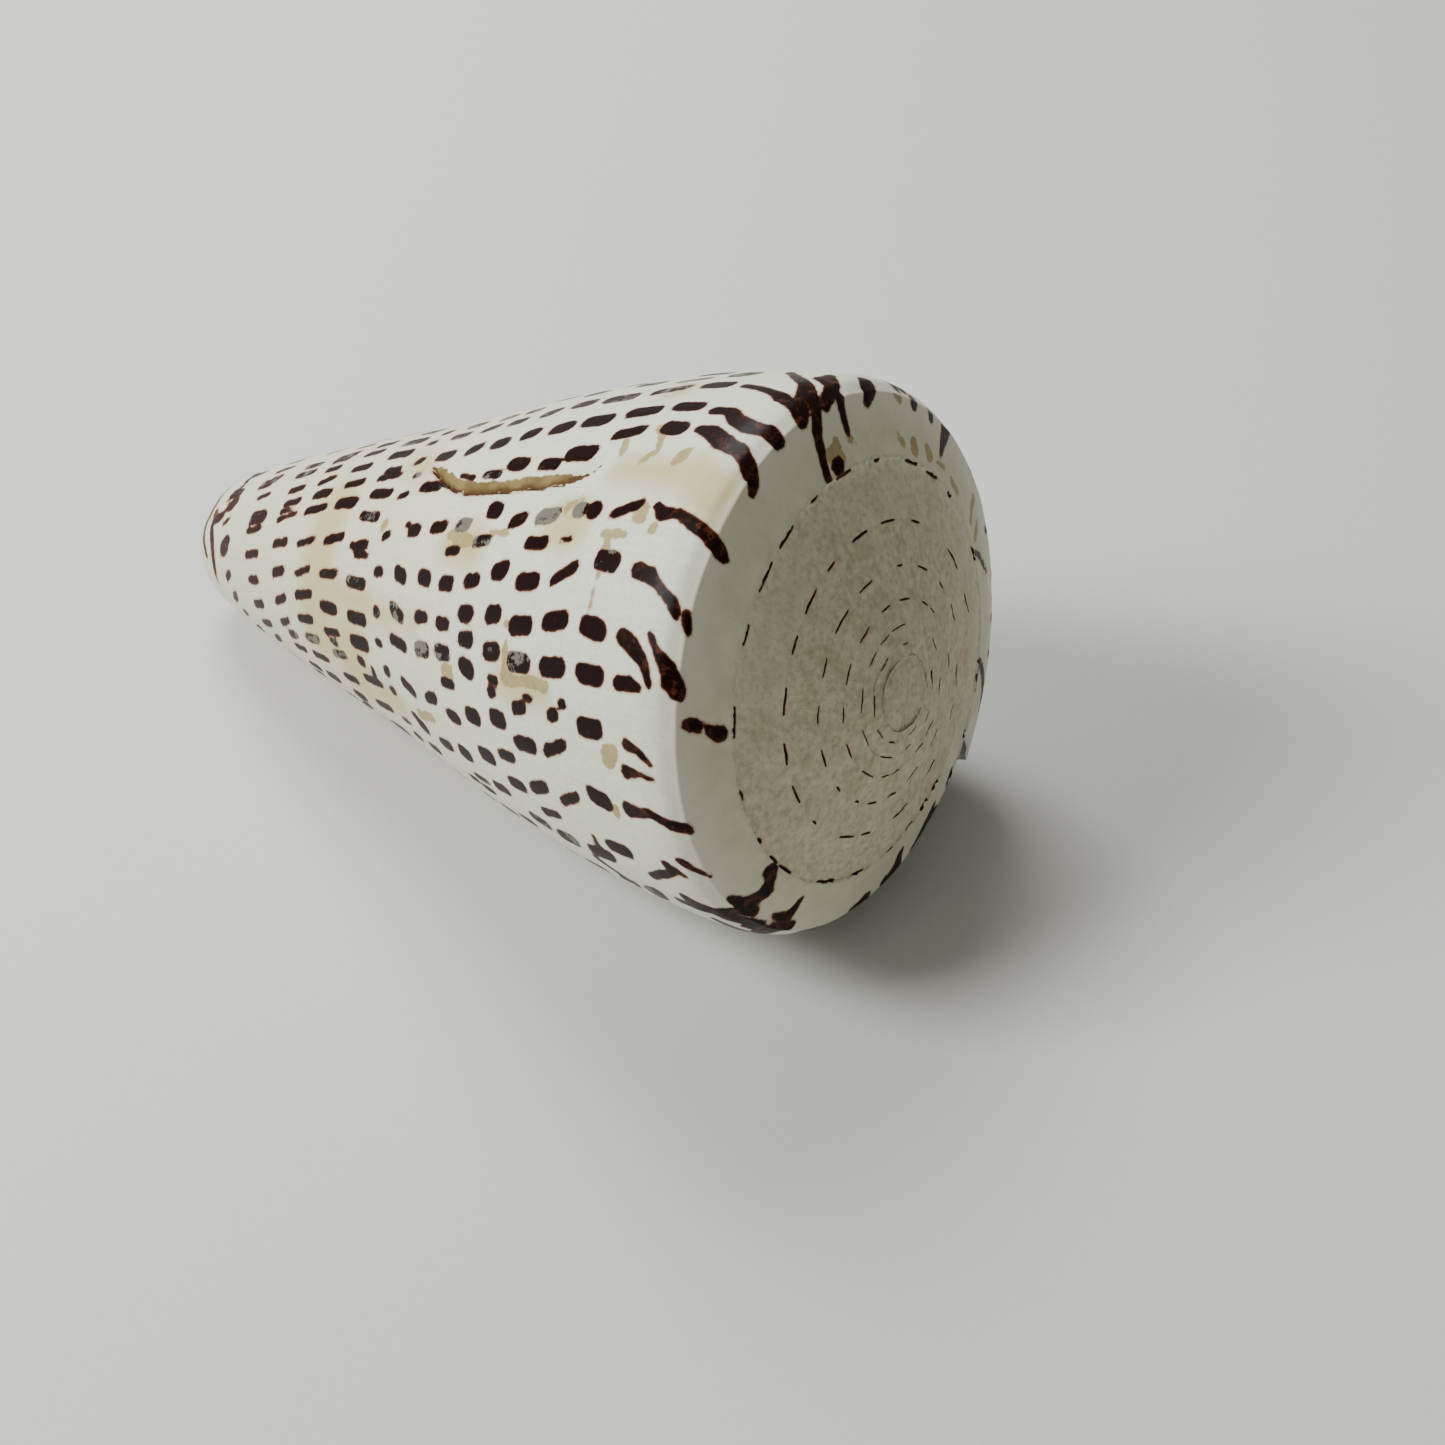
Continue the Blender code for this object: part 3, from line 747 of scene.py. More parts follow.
@dataclass
class ShellBody:
    """The whole shell: its skins, their points and the markings on them.

    The rows are shares of the way down the side or out across a ramp. A growth ridge is its step
    in degrees, height in metres and lag.
    """

    coil: Coil = field(default_factory=Coil)
    scar: Scar = field(default_factory=Scar)
    markings: Markings = field(default_factory=Markings)
    stains: Markings = field(default_factory=Markings)
    tints: Markings = field(default_factory=lambda: Markings(reach_mm=12.0))
    band: Markings = field(default_factory=Markings)
    columns: int = 360
    top_rows: int = 6
    shoulder_rows: int = 27
    side_rows: int = 124
    crest_end: float = 0.018
    shoulder_end: float = 0.12
    ramp_rows: Array = field(default_factory=lambda: np.array((
        0.0, 0.05, 0.14, 0.26, 0.38, 0.50, 0.62, 0.74, 0.85, 0.93, 1.0 - DASH_SHARE, 1.0)))
    apex_rows: tuple = (0.0, 0.25, 0.5, 0.75)
    ridges: tuple = ((37.0, 0.00006, 0.4), (13.7, 0.00004, 1.9), (5.3, 0.00002, 4.1))
    ridge_lean: float = 1.3
    ridge_start: tuple = (0.01, 0.06)
    suture_step: float = 0.07
    spire_turns: int = 7
    slit_columns: int = 24
    slit_depth: float = 60.0
    end_close: float = 0.55
    end_steps: float = 10.0
    notch_deg: float = 9.0
    notch_swing: float = 40.0
    lip_steps: int = 4
    lip_bulge: float = 0.0003
    bulge_share: float = 0.3
    merge_gap: float = 2e-6
    sharp_deg: float = 60.0
    lump_size: float = 0.0035
    lump_depth: float = 0.00045
    grit_size: float = 0.0011
    grit_depth: float = 0.00022
    noise_steps: int = 2
    groove_reach: float = 6.0
    last_weight: float = 0.4
    crest_fade: float = 0.02
    apex_fade: float = 0.12
    old_turn: tuple = (0.95, 1.05)
    lip_fades: tuple = ((-20.0, 20.0), (344.0, 320.0))
    weight_steps: int = 20
    canal_uv: tuple = (0.5, 1.0)
    offset: Array = field(default_factory=lambda: np.zeros(3))

    def __post_init__(self) -> None:
        """Set the rows down the side, closest at the shoulder."""
        crest = np.linspace(0.0, self.crest_end, self.top_rows + 1)[:-1]
        shoulder = np.linspace(self.crest_end, self.shoulder_end, self.shoulder_rows + 1)[:-1]
        below = np.linspace(self.shoulder_end, 1.0, self.side_rows)
        self.rows = np.concatenate((crest, shoulder, below))

    def side_detail(self, phi: Array, share: Array) -> Array:
        """Low growth ridges on the outer wall, as metres sunk below its highest."""
        ridge = np.zeros(np.broadcast(phi, share).shape)
        for step, size, lag in self.ridges:
            wave = 2 * math.pi * phi / step + lag + self.ridge_lean * share
            ridge = ridge + size * (1.0 - np.sin(wave))
        return ridge * ease(*self.ridge_start, share) * 0.5

    def side_sheet(self) -> Sheet:
        """Outer wall of the last turn, from the slit all the way round to the lip."""
        phi = np.linspace(-TURN, 0.0, self.columns + 1)[:, None]
        share = self.rows[None, :]
        at = phi + self.coil.lip_shift(phi, share)
        angle = self.coil.lip_angle - at
        radius = self.coil.side(at, share)[0] - self.scar.sunk(angle, share)
        radius = radius - self.side_detail(at, share)
        height = self.coil.side(phi, share)[1]
        points = self.coil.lay_down(radius, angle, height)
        return Sheet(Zone.SIDE, points, angle, share + 0.0 * angle, radius, 0.0 * angle)

    def ramp_radius(self, at: Array, share: Array) -> tuple[Array, Array]:
        """Radius on a ramp, and its distance in from the crest."""
        inner = self.coil.crest(at - TURN)[0]
        outer = self.coil.crest(at)[0]
        radius = inner + share * (outer - inner)
        return radius, outer - radius

    def ramp_height(self, at: Array, share: Array, radius: Array) -> Array:
        """Height on a ramp, stepped down at the suture and slightly dished."""
        drop = self.coil.suture_drop * (1.0 - share) * ease(0.0, self.suture_step, share)
        drop = drop + self.coil.ramp_hollow * np.sin(math.pi * share)
        return self.coil.spire(radius) - self.coil.growth(at) * drop

    def notch(self, phi: Array, share: Array) -> Array:
        """Degrees by which the ramp falls back in its notch at the lip."""
        return self.notch_deg * np.sin(math.pi * share) * ease(-self.notch_swing, 0.0, phi)

    def ramp_sheet(self) -> Sheet:
        """Ribbon of all the ramps, from near the apex to the lip."""
        start = -self.spire_turns * TURN
        phi = np.linspace(start, 0.0, self.columns * self.spire_turns + 1)[:, None]
        share = self.ramp_rows[None, :]
        at = phi - self.notch(phi, share)
        radius, inward = self.ramp_radius(at, share)
        height = self.ramp_height(at, share, radius)
        height = np.where(share == 0.0, self.coil.crest(phi - TURN)[1], height)
        angle = self.coil.lip_angle - at
        points = self.coil.lay_down(radius, angle, height)
        turns = -phi / TURN + 0.0 * share
        return Sheet(Zone.RAMP, points, angle, -inward / MM / MM_PER_SHARE, radius, turns)

    def apex_sheet(self) -> Sheet:
        """Small cap inside the first ramp."""
        start = -self.spire_turns * TURN
        phi = np.linspace(start - TURN, start, self.columns + 1)[:, None]
        low = self.coil.crest(start - TURN)[0]
        high = self.coil.crest(start)[0]
        inner = low * np.array(self.apex_rows)
        outer = self.ramp_radius(start, self.ramp_rows)[0]
        target = np.concatenate((inner, outer))[None, :]
        done = (self.coil.crest(phi)[0] - low) / (high - low)
        radius = target - (target - np.minimum(target, low)) * (1.0 - done)
        edge = self.coil.spire(outer) - self.ramp_height(start, self.ramp_rows, outer)
        edge[0] = 0.0
        edge[-1] = 0.0
        drop = np.concatenate((np.zeros(len(inner)), edge))[None, :]
        height = self.coil.spire(radius) - drop * done
        angle = self.coil.lip_angle - phi + 0.0 * radius
        points = self.coil.lay_down(radius, angle, height)
        inward = self.coil.crest(phi)[0] - radius
        turns = -phi / TURN + 0.0 * radius
        return Sheet(Zone.RAMP, points, angle, -inward / MM / MM_PER_SHARE, radius, turns)

    def slit_places(self) -> tuple[Array, Array, Array, Array]:
        """Coil angles of the slit's columns, and cylindrical points of both of its walls."""
        back = np.linspace(0.0, -self.slit_depth, self.slit_columns + 1)[:, None]
        share = self.rows[None, self.top_rows:]
        pillar = self.coil.side(back - TURN, share)
        pillar_radius = pillar[0] - self.side_detail(back - TURN, share)
        at = back + self.coil.lip_shift(back, share)
        steps = -back / self.slit_depth * self.slit_columns
        close = self.end_close * ease(self.slit_columns - self.end_steps, self.slit_columns, steps)
        radius = self.coil.side(at, share)[0] - self.coil.wall(-back, share)
        radius = radius - close * (radius - pillar_radius)
        height = self.coil.side(back, share)[1]
        one = np.stack((pillar_radius, back + 0.0 * share, pillar[1]), axis=-1)
        two = np.stack((radius, at, height), axis=-1)
        return back, share, one, two

    def place(self, cylinder: Array) -> Array:
        """Points from radius, coil angle and height on the last axis."""
        angle = self.coil.lip_angle - cylinder[..., 1]
        return self.coil.lay_down(cylinder[..., 0], angle, cylinder[..., 2])

    def inside(self, cylinder: Array, share: Array) -> Sheet:
        """Sheet on the slit's white inner skin."""
        angle = self.coil.lip_angle - cylinder[..., 1]
        level = share + 0.0 * angle
        return Sheet(Zone.INSIDE, self.place(cylinder), angle, level, cylinder[..., 0], 0.0 * angle)

    @staticmethod
    def across(one: Array, two: Array, count: int) -> Array:
        """Cylindrical points evenly from one wall to the other, on a new axis at the end."""
        t = np.linspace(0.0, 1.0, count + 1)[:, None]
        return one[..., None, :] + t * (two - one)[..., None, :]

    def slit_sheets(self, side: Sheet, ramp: Sheet) -> list[Sheet]:
        """Pillar, inner wall, ceiling and end of the slit, and the lip's edge."""
        back, share, one, two = self.slit_places()
        spans = len(self.ramp_rows) - 1
        ceiling = self.across(one[:, 0], two[:, 0], spans)
        t = np.linspace(0.0, 1.0, spans + 1)[None, :]
        fall = self.notch(back, t)
        fall[:, 0] = 0.0
        fall[:, -1] = 0.0
        ceiling[..., 1] -= fall
        end = self.across(one[-1], two[-1], spans)
        end[0] = ceiling[-1]
        sheets = [
            self.inside(one, share),
            self.inside(two, share),
            self.inside(ceiling, 0.0),
            self.inside(end, share[0][:, None]),
        ]
        top = self.top_rows
        ahead = np.concatenate((ramp.points[-1] - ramp.points[-2],
                                side.points[-1, 1:] - side.points[-2, 1:]))
        edge = self.edge_strip(side.points[-1, top:], self.place(two[0]),
                               ahead[len(self.ramp_rows) + top - 1:])
        sheets.append(self.edge_sheet(edge, side.angle[-1, top:], side.share[-1, top:],
                                      side.radius[-1, top:]))
        outer = np.concatenate((ramp.points[-1], side.points[-1, 1:top + 1]))
        inner = np.concatenate((side.points[0, :top], self.place(ceiling[0])))
        level = np.concatenate((ramp.share[-1], side.share[-1, 1:top + 1]))
        angle = np.concatenate((ramp.angle[-1], side.angle[-1, 1:top + 1]))
        radius = np.concatenate((ramp.radius[-1], side.radius[-1, 1:top + 1]))
        edge = self.edge_strip(outer, inner, ahead[:len(outer)])
        sheets.append(self.edge_sheet(edge, angle, level, radius))
        return sheets

    def edge_strip(self, outer: Array, inner: Array, ahead: Array) -> Array:
        """Rounded edge between two lines of points, steps on the first axis.

        Args:
            outer: points on the outer skin's edge.
            inner: points on the inner skin's edge.
            ahead: direction in which the shell grows at each.
        Returns:
            Grid of points.
        """
        t = np.linspace(0.0, 1.0, self.lip_steps + 1)[:, None, None]
        across = (1.0 - np.cos(math.pi * t)) * 0.5
        size = np.linalg.norm(ahead, axis=-1, keepdims=True) + 1e-12
        thick = np.linalg.norm(inner - outer, axis=-1, keepdims=True)
        bulge = np.minimum(self.lip_bulge, thick * self.bulge_share) * np.sin(math.pi * t)
        return outer + across * (inner - outer) + bulge * ahead / size

    @staticmethod
    def edge_sheet(strip: Array, angle: Array, share: Array, radius: Array) -> Sheet:
        """Sheet along the lip's edge."""
        flat = np.zeros(strip.shape[:2])
        return Sheet(Zone.INSIDE, strip, flat + angle, flat + share, flat + radius, flat)

    def build(self) -> bpy.types.Object:
        """Make the shell's one mesh with its attributes.

        The skins are spirals that no primitive can be shaped into, so their points are set here,
        and operators then join them, close the canal's end and roughen the spire.

        Returns:
            The finished object.
        """
        side = self.side_sheet()
        ramp = self.ramp_sheet()
        sheets = [side, ramp, self.apex_sheet()] + self.slit_sheets(side, ramp)
        points = np.concatenate([s.points.reshape(-1, 3) for s in sheets])
        low, high = points.min(axis=0), points.max(axis=0)
        box_low, box_high = (np.array(c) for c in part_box(NODE))
        self.offset = 0.5 * (box_low + box_high - low - high)
        self.offset[2] = box_low[2] - low[2]
        points = points + self.offset
        corners = []
        start = 0
        for sheet in sheets:
            corners.append(sheet.corner_ids() + start)
            start += sheet.angle.size
        corners = np.concatenate(corners)
        mesh = bpy.data.meshes.new("cone_shell")
        mesh.from_pydata(points.tolist(), [], corners.tolist())
        self.write_attributes(mesh, sheets, corners.ravel())
        shell = bpy.data.objects.new("cone_shell", mesh)
        bpy.context.collection.objects.link(shell)
        self.weigh_spire(shell, sheets)
        self.join_and_close(shell)
        self.roughen(shell, "spire_lumps", self.lump_size, self.lump_depth)
        self.roughen(shell, "spire_grit", self.grit_size, self.grit_depth)
        return shell

    def weigh_spire(self, shell: bpy.types.Object, sheets: list[Sheet]) -> None:
        """Name the points of the spire, and how much each is roughened."""
        group = shell.vertex_groups.new(name=SPIRE)
        start = 0
        for sheet in sheets:
            if sheet.zone is Zone.SIDE:
                weight = self.last_weight * (1.0 - ease(0.0, self.crest_fade, sheet.share))
                for fade in self.lip_fades:
                    weight = weight * ease(*fade, sheet.angle)
                self.add_weights(group, weight, start)
            elif sheet.zone is Zone.RAMP:
                old = ease(*self.old_turn, sheet.inner_turns)
                weight = old + (1.0 - old) * self.last_weight
                weight = weight * ease(0.0, self.apex_fade, sheet.inner_turns)
                self.add_weights(group, weight, start)
            start += sheet.angle.size

    def add_weights(self, group: bpy.types.VertexGroup, weight: Array, start: int) -> None:
        """Give a sheet's points their weights, in even steps."""
        steps = np.round(weight.ravel() * self.weight_steps).astype(int)
        for step in range(1, self.weight_steps + 1):
            chosen = (np.flatnonzero(steps == step) + start).tolist()
            group.add(chosen, step / self.weight_steps, "REPLACE")

    def roughen(self, shell: bpy.types.Object, name: str, size: float, depth: float) -> None:
        """Sink the spire's points here and there, never outwards.

        Args:
            shell: the joined object.
            name: name of the pattern.
            size: size of the hollows in metres.
            depth: their greatest depth in metres.
        """
        pattern = bpy.data.textures.new(name, "CLOUDS")
        pattern.noise_scale = size
        pattern.noise_depth = self.noise_steps
        change = shell.modifiers.new(name, "DISPLACE")
        change.texture = pattern
        change.texture_coords = "LOCAL"
        change.vertex_group = SPIRE
        change.mid_level = 1.0
        change.strength = depth
        bpy.context.view_layer.objects.active = shell
        bpy.ops.object.modifier_apply(modifier=change.name)
        bpy.data.textures.remove(pattern)

    def write_attributes(self, mesh: bpy.types.Mesh, sheets: list[Sheet], corners: Array) -> None:
        """Give every face corner its coil place and its markings."""
        angle = np.concatenate([s.angle.ravel() for s in sheets])
        share = np.concatenate([s.share.ravel() for s in sheets])
        dark, worn = self.measure(self.markings, sheets)
        values = {
            "dark": dark,
            "worn": worn,
            "inside": np.concatenate([
                np.full(s.angle.size, float(s.zone is Zone.INSIDE)) for s in sheets]),
            "turns": np.concatenate([s.inner_turns.ravel() for s in sheets]),
            "groove": np.clip(self.scar.off(angle, share), -self.groove_reach, self.groove_reach),
            "stain": self.measure(self.stains, sheets)[0],
            "tint": self.measure(self.tints, sheets)[0],
            "band": self.measure(self.band, sheets)[0],
        }
        for name, value in values.items():
            layer = mesh.attributes.new(name, "FLOAT", "CORNER")
            layer.data.foreach_set("value", value[corners].astype(np.float32))
        places = mesh.uv_layers.new(name="coil")
        flat = np.stack((angle * COIL_UV, share), axis=1)[corners]
        places.data.foreach_set("uv", flat.astype(np.float32).ravel())

    @staticmethod
    def measure(markings: Markings, sheets: list[Sheet]) -> tuple[Array, Array]:
        """Distance and wear at the points of all the sheets in turn."""
        near, worn = zip(*(markings.measure(sheet) for sheet in sheets))
        return np.concatenate(near), np.concatenate(worn)

    def join_and_close(self, shell: bpy.types.Object) -> None:
        """Merge the skins along their edges and close the canal's end."""
        bpy.ops.object.select_all(action="DESELECT")
        shell.select_set(True)
        bpy.context.view_layer.objects.active = shell
        bpy.ops.object.mode_set(mode="EDIT")
        bpy.ops.mesh.select_mode(type="VERT")
        bpy.ops.mesh.select_all(action="SELECT")
        bpy.ops.mesh.remove_doubles(threshold=self.merge_gap)
        bpy.ops.mesh.select_all(action="DESELECT")
        bpy.ops.mesh.select_non_manifold(extend=False, use_wire=False, use_multi_face=False,
                                         use_non_contiguous=False, use_verts=False)
        bpy.ops.object.mode_set(mode="OBJECT")
        before = len(shell.data.polygons)
        open_edges = sum(1 for e in shell.data.edges if e.select)
        bpy.ops.object.mode_set(mode="EDIT")
        bpy.ops.mesh.fill(use_beauty=True)
        bpy.ops.mesh.select_all(action="SELECT")
        bpy.ops.mesh.normals_make_consistent(inside=False)
        bpy.ops.mesh.select_all(action="DESELECT")
        bpy.ops.object.mode_set(mode="OBJECT")
        LOG.info("canal end: %d open edges, %d faces added", open_edges,
                 len(shell.data.polygons) - before)
        self.mark_canal_end(shell.data, before)
        bpy.ops.object.shade_smooth_by_angle(angle=math.radians(self.sharp_deg))

    def mark_canal_end(self, mesh: bpy.types.Mesh, first: int) -> None:
        """Give the closing faces of the canal's end their place in the coil."""
        places = mesh.uv_layers["coil"].data
        dark = mesh.attributes["dark"].data
        for face in mesh.polygons[first:]:
            for corner in face.loop_indices:
                places[corner].uv = self.canal_uv
                dark[corner].value = self.markings.reach_mm


@dataclass
class Bench:
    """Short way to add and join the nodes of one finish."""

    tree: bpy.types.NodeTree

    def put(self, kind: str, **settings: object) -> bpy.types.Node:
        """Add a node and set its properties."""
        node = self.tree.nodes.new(kind)
        for name, value in settings.items():
            setattr(node, name, value)
        return node

    def feed(self, socket: bpy.types.NodeSocket, value: object) -> None:
        """Join a socket to a link, or set its own value."""
        if isinstance(value, bpy.types.NodeSocket):
            self.tree.links.new(value, socket)
        else:
            socket.default_value = value

    def calc(self, way: str, one: object, two: object) -> bpy.types.NodeSocket:
        """Result of a math node."""
        node = self.put("ShaderNodeMath", operation=way)
        self.feed(node.inputs[0], one)
        self.feed(node.inputs[1], two)
        return node.outputs[0]

    def times(self, one: object, two: object) -> bpy.types.NodeSocket:
        """One times two."""
        return self.calc("MULTIPLY", one, two)

    def more(self, value: object, pattern: object, size: object) -> bpy.types.NodeSocket:
        """Value with so much of a pattern added."""
        return self.calc("ADD", value, self.times(pattern, size))

    def sway(self, value: object, pattern: object, size: object) -> bpy.types.NodeSocket:
        """Value that a pattern from 0 to 1 moves both ways."""
        return self.more(value, self.calc("SUBTRACT", pattern, 0.5), size)

    def span(self, value: object, low: float, high: float, to_low: float = 0.0,
             to_high: float = 1.0) -> bpy.types.NodeSocket:
        """Value eased from one range to another."""
        node = self.put("ShaderNodeMapRange", interpolation_type="SMOOTHSTEP")
        for socket, number in zip(node.inputs, (value, low, high, to_low, to_high)):
            self.feed(socket, number)
        return node.outputs[0]

    def blend(self, share: object, one: object, two: object) -> bpy.types.NodeSocket:
        """Colour mixed from one to two."""
        node = self.put("ShaderNodeMix", data_type="RGBA")
        self.feed(node.inputs["Factor"], share)
        self.feed(node.inputs[6], one)
        self.feed(node.inputs[7], two)
        return node.outputs[2]

    def grain(self, place: object, scale: float, detail: float,
              rough: float) -> bpy.types.NodeSocket:
        """Noise from 0 to 1."""
        node = self.put("ShaderNodeTexNoise")
        self.feed(node.inputs["Vector"], place)
        node.inputs["Scale"].default_value = scale
        node.inputs["Detail"].default_value = detail
        node.inputs["Roughness"].default_value = rough
        return node.outputs["Fac"]

    def stretch(self, place: object, scale: tuple) -> bpy.types.NodeSocket:
        """Place scaled along each axis."""
        node = self.put("ShaderNodeMapping")
        self.feed(node.inputs["Vector"], place)
        node.inputs["Scale"].default_value = scale
        return node.outputs[0]

    def value_of(self, name: str) -> bpy.types.NodeSocket:
        """The mesh's own number of that name."""
        return self.put("ShaderNodeAttribute", attribute_name=name).outputs["Fac"]

    def relief(self, height: object, deep: float, strength: float) -> bpy.types.NodeSocket:
        """Normal of a fine relief, so deep in metres."""
        node = self.put("ShaderNodeBump")
        self.feed(node.inputs["Height"], height)
        node.inputs["Distance"].default_value = deep
        node.inputs["Strength"].default_value = strength
        return node.outputs[0]


@dataclass
class ShellPatterns:
    """Places in the coil and grains that the parts of the shell's finish share.

    A grain is its number of cells in a metre, its detail and its roughness.
    """

    bench: Bench
    cloud_grain: tuple = (60.0, 4.0, 0.5)
    fine_grain: tuple = (1400.0, 4.0, 0.6)
    ragged_grain: tuple = (900.0, 2.0, 0.5)
    mottle_grain: tuple = (330.0, 6.0, 0.65)
    patch_grain: tuple = (750.0, 5.0, 0.7)
    flake_grain: tuple = (190.0, 5.0, 0.7)
    growth_scale: tuple = (260.0, 4.0, 1.0)
    growth_grain: tuple = (1.0, 5.0, 0.6)
    flake_reach: float = 0.028
    crest: tuple = (-0.045, 0.006)
    suture: tuple = (0.98, 1.02)
    ramp_chalk: float = 0.4

    def __post_init__(self) -> None:
        """Add the nodes that read the coil and make the grains."""
        bench = self.bench
        spot = bench.put("ShaderNodeTexCoord").outputs["Object"]
        coil = bench.put("ShaderNodeUVMap", uv_map="coil").outputs[0]
        split = bench.put("ShaderNodeSeparateXYZ")
        bench.feed(split.inputs[0], coil)
        self.level = split.outputs[1]
        self.turns = bench.value_of("turns")
        self.cloud = bench.grain(spot, *self.cloud_grain)
        self.fine = bench.grain(spot, *self.fine_grain)
        self.ragged = bench.grain(spot, *self.ragged_grain)
        self.mottle = bench.grain(spot, *self.mottle_grain)
        self.patchy = bench.span(bench.grain(spot, *self.patch_grain), 0.32, 0.68)
        self.growth = bench.grain(bench.stretch(coil, self.growth_scale), *self.growth_grain)
        flakes = bench.grain(spot, *self.flake_grain)
        self.chipped = bench.sway(self.level, flakes, self.flake_reach)
        # the side's white fades into the ramp over about 4.5 mm: partly the crest's own pale
        # colour, partly painted light over a rounded crest
        self.on_ramp = bench.span(self.chipped, *self.crest, 1.0, 0.0)
        self.old = bench.span(self.turns, *self.suture)
        self.chalky = bench.calc("MAXIMUM", bench.times(self.on_ramp, self.ramp_chalk), self.old)


@dataclass(frozen=True)
class ShellFinish:
    """Glazed white side with dark spots, chalky spire, white inside.

    spread is how many mm the dark markings reach past their read outline. An edge is the pair of
    distances in mm between which a colour begins or ends, and levels are shares down the side.
    """

    white: tuple = (0.77, 0.79, 0.66, 1.0)
    warm: tuple = (0.69, 0.66, 0.47, 1.0)
    shade: tuple = (0.57, 0.57, 0.45, 1.0)
    cream: tuple = (0.58, 0.52, 0.25, 1.0)
    bare: tuple = (0.76, 0.73, 0.58, 1.0)
    ramp: tuple = (0.68, 0.66, 0.50, 1.0)
    ramp_dark: tuple = (0.60, 0.58, 0.42, 1.0)
    chalk: tuple = (0.63, 0.59, 0.43, 1.0)
    chalk_dark: tuple = (0.54, 0.50, 0.34, 1.0)
    crust: tuple = (0.74, 0.70, 0.53, 1.0)
    pit: tuple = (0.34, 0.30, 0.20, 1.0)
    core: tuple = (0.0085, 0.0012, 0.0009, 1.0)
    rim: tuple = (0.095, 0.024, 0.011, 1.0)
    stain: tuple = (0.37, 0.31, 0.13, 1.0)
    halo: tuple = (0.42, 0.27, 0.14, 1.0)
    grey: tuple = (0.15, 0.145, 0.115, 1.0)
    purple: tuple = (0.034, 0.012, 0.011, 1.0)
    tan: tuple = (0.33, 0.25, 0.10, 1.0)
    tan_dark: tuple = (0.18, 0.125, 0.048, 1.0)
    scar_light: tuple = (0.27, 0.20, 0.08, 1.0)
    # painted shadow in the undercut at the scar's ledge
    scar_ledge_shadow: tuple = (0.09, 0.05, 0.018, 1.0)
    tip: tuple = (0.20, 0.145, 0.10, 1.0)
    inner: tuple = (0.80, 0.79, 0.74, 1.0)
    spread: float = 0.11
    core_edge: tuple = (-0.26, -0.04)
    rim_edge: tuple = (-0.10, 0.05)
    halo_edge: tuple = (0.0, 0.25)
    stain_edge: tuple = (-0.05, 0.18)
    yellow_edge: tuple = (1.5, 5.5)
    scar_edge: tuple = (-0.12, 0.02)
    scar_jag: float = 0.9
    purple_levels: tuple = (0.62, 0.95)
    warm_levels: tuple = (0.45, 0.95)
    tip_levels: tuple = (1.035, 1.075)
    roughness: tuple = (0.38, 0.80)
    ior: float = 1.25
    gloss: float = 0.3
    relief: float = 0.00012
    relief_share: float = 0.7

    def make(self) -> bpy.types.Material:
        """Build the material.

        Returns:
            The finished material.
        """
        material = bpy.data.materials.new("lettered_shell")
        material.use_nodes = True
        bench = Bench(material.node_tree)
        seen = ShellPatterns(bench)
        colour = self.spire_ground(seen, self.side_ground(seen))
        colour = self.inked(seen, self.stained(seen, colour))
        jagged = bench.times(bench.calc("SUBTRACT", seen.ragged, 0.5), self.scar_jag)
        reach = bench.calc("ADD", bench.value_of("band"), jagged)
        scar = bench.span(reach, *self.scar_edge, 1.0, 0.0)
        colour = bench.blend(scar, colour, self.scar_ground(seen, jagged))
        toward_tip = bench.more(bench.more(seen.level, seen.cloud, 0.07), seen.growth, 0.10)
        colour = bench.blend(bench.span(toward_tip, *self.tip_levels, 0.0, 0.8), colour, self.tip)
        colour = bench.blend(bench.value_of("inside"), colour, self.inner)
        shader = material.node_tree.nodes["Principled BSDF"]
        bench.feed(shader.inputs["Base Color"], colour)
        dull = bench.span(seen.chalky, 0.0, 1.0, *self.roughness)
        dull = bench.more(bench.sway(dull, seen.fine, 0.2), scar, 0.35)
        bench.feed(shader.inputs["Roughness"], dull)
        shader.inputs["IOR"].default_value = self.ior
        shader.inputs["Specular IOR Level"].default_value = self.gloss
        lines = bench.times(seen.growth, bench.span(seen.chalky, 0.0, 1.0, 0.30, 0.5))
        height = bench.more(lines, seen.mottle, bench.span(seen.chalky, 0.0, 1.0, 0.08, 1.0))
        height = bench.more(height, bench.times(seen.mottle, scar), 1.5)
        bench.feed(shader.inputs["Normal"], bench.relief(height, self.relief, self.relief_share))
        return material

    def side_ground(self, seen: ShellPatterns) -> bpy.types.NodeSocket:
        """White of the side, warmer down to the canal, with yellow tints and growth lines."""
        bench = seen.bench
        soft = bench.more(bench.value_of("tint"), seen.cloud, 6.0)
        yellow = bench.span(soft, *self.yellow_edge, 1.0, 0.0)
        warmth = bench.span(bench.more(seen.level, seen.cloud, 0.5), *self.warm_levels, 0.0, 0.75)
        ground = bench.blend(warmth, self.white, self.warm)
        ground = bench.blend(yellow, ground, self.cream)
        ground = bench.blend(bench.span(seen.fine, 0.40, 0.60, 0.25, 0.0), ground, self.shade)
        ground = bench.blend(bench.span(seen.growth, 0.45, 0.75, 0.0, 0.35), ground, self.shade)
        worn_rim = bench.times(bench.span(seen.chipped, 0.014, 0.002), 0.7)
        return bench.blend(worn_rim, ground, self.bare)

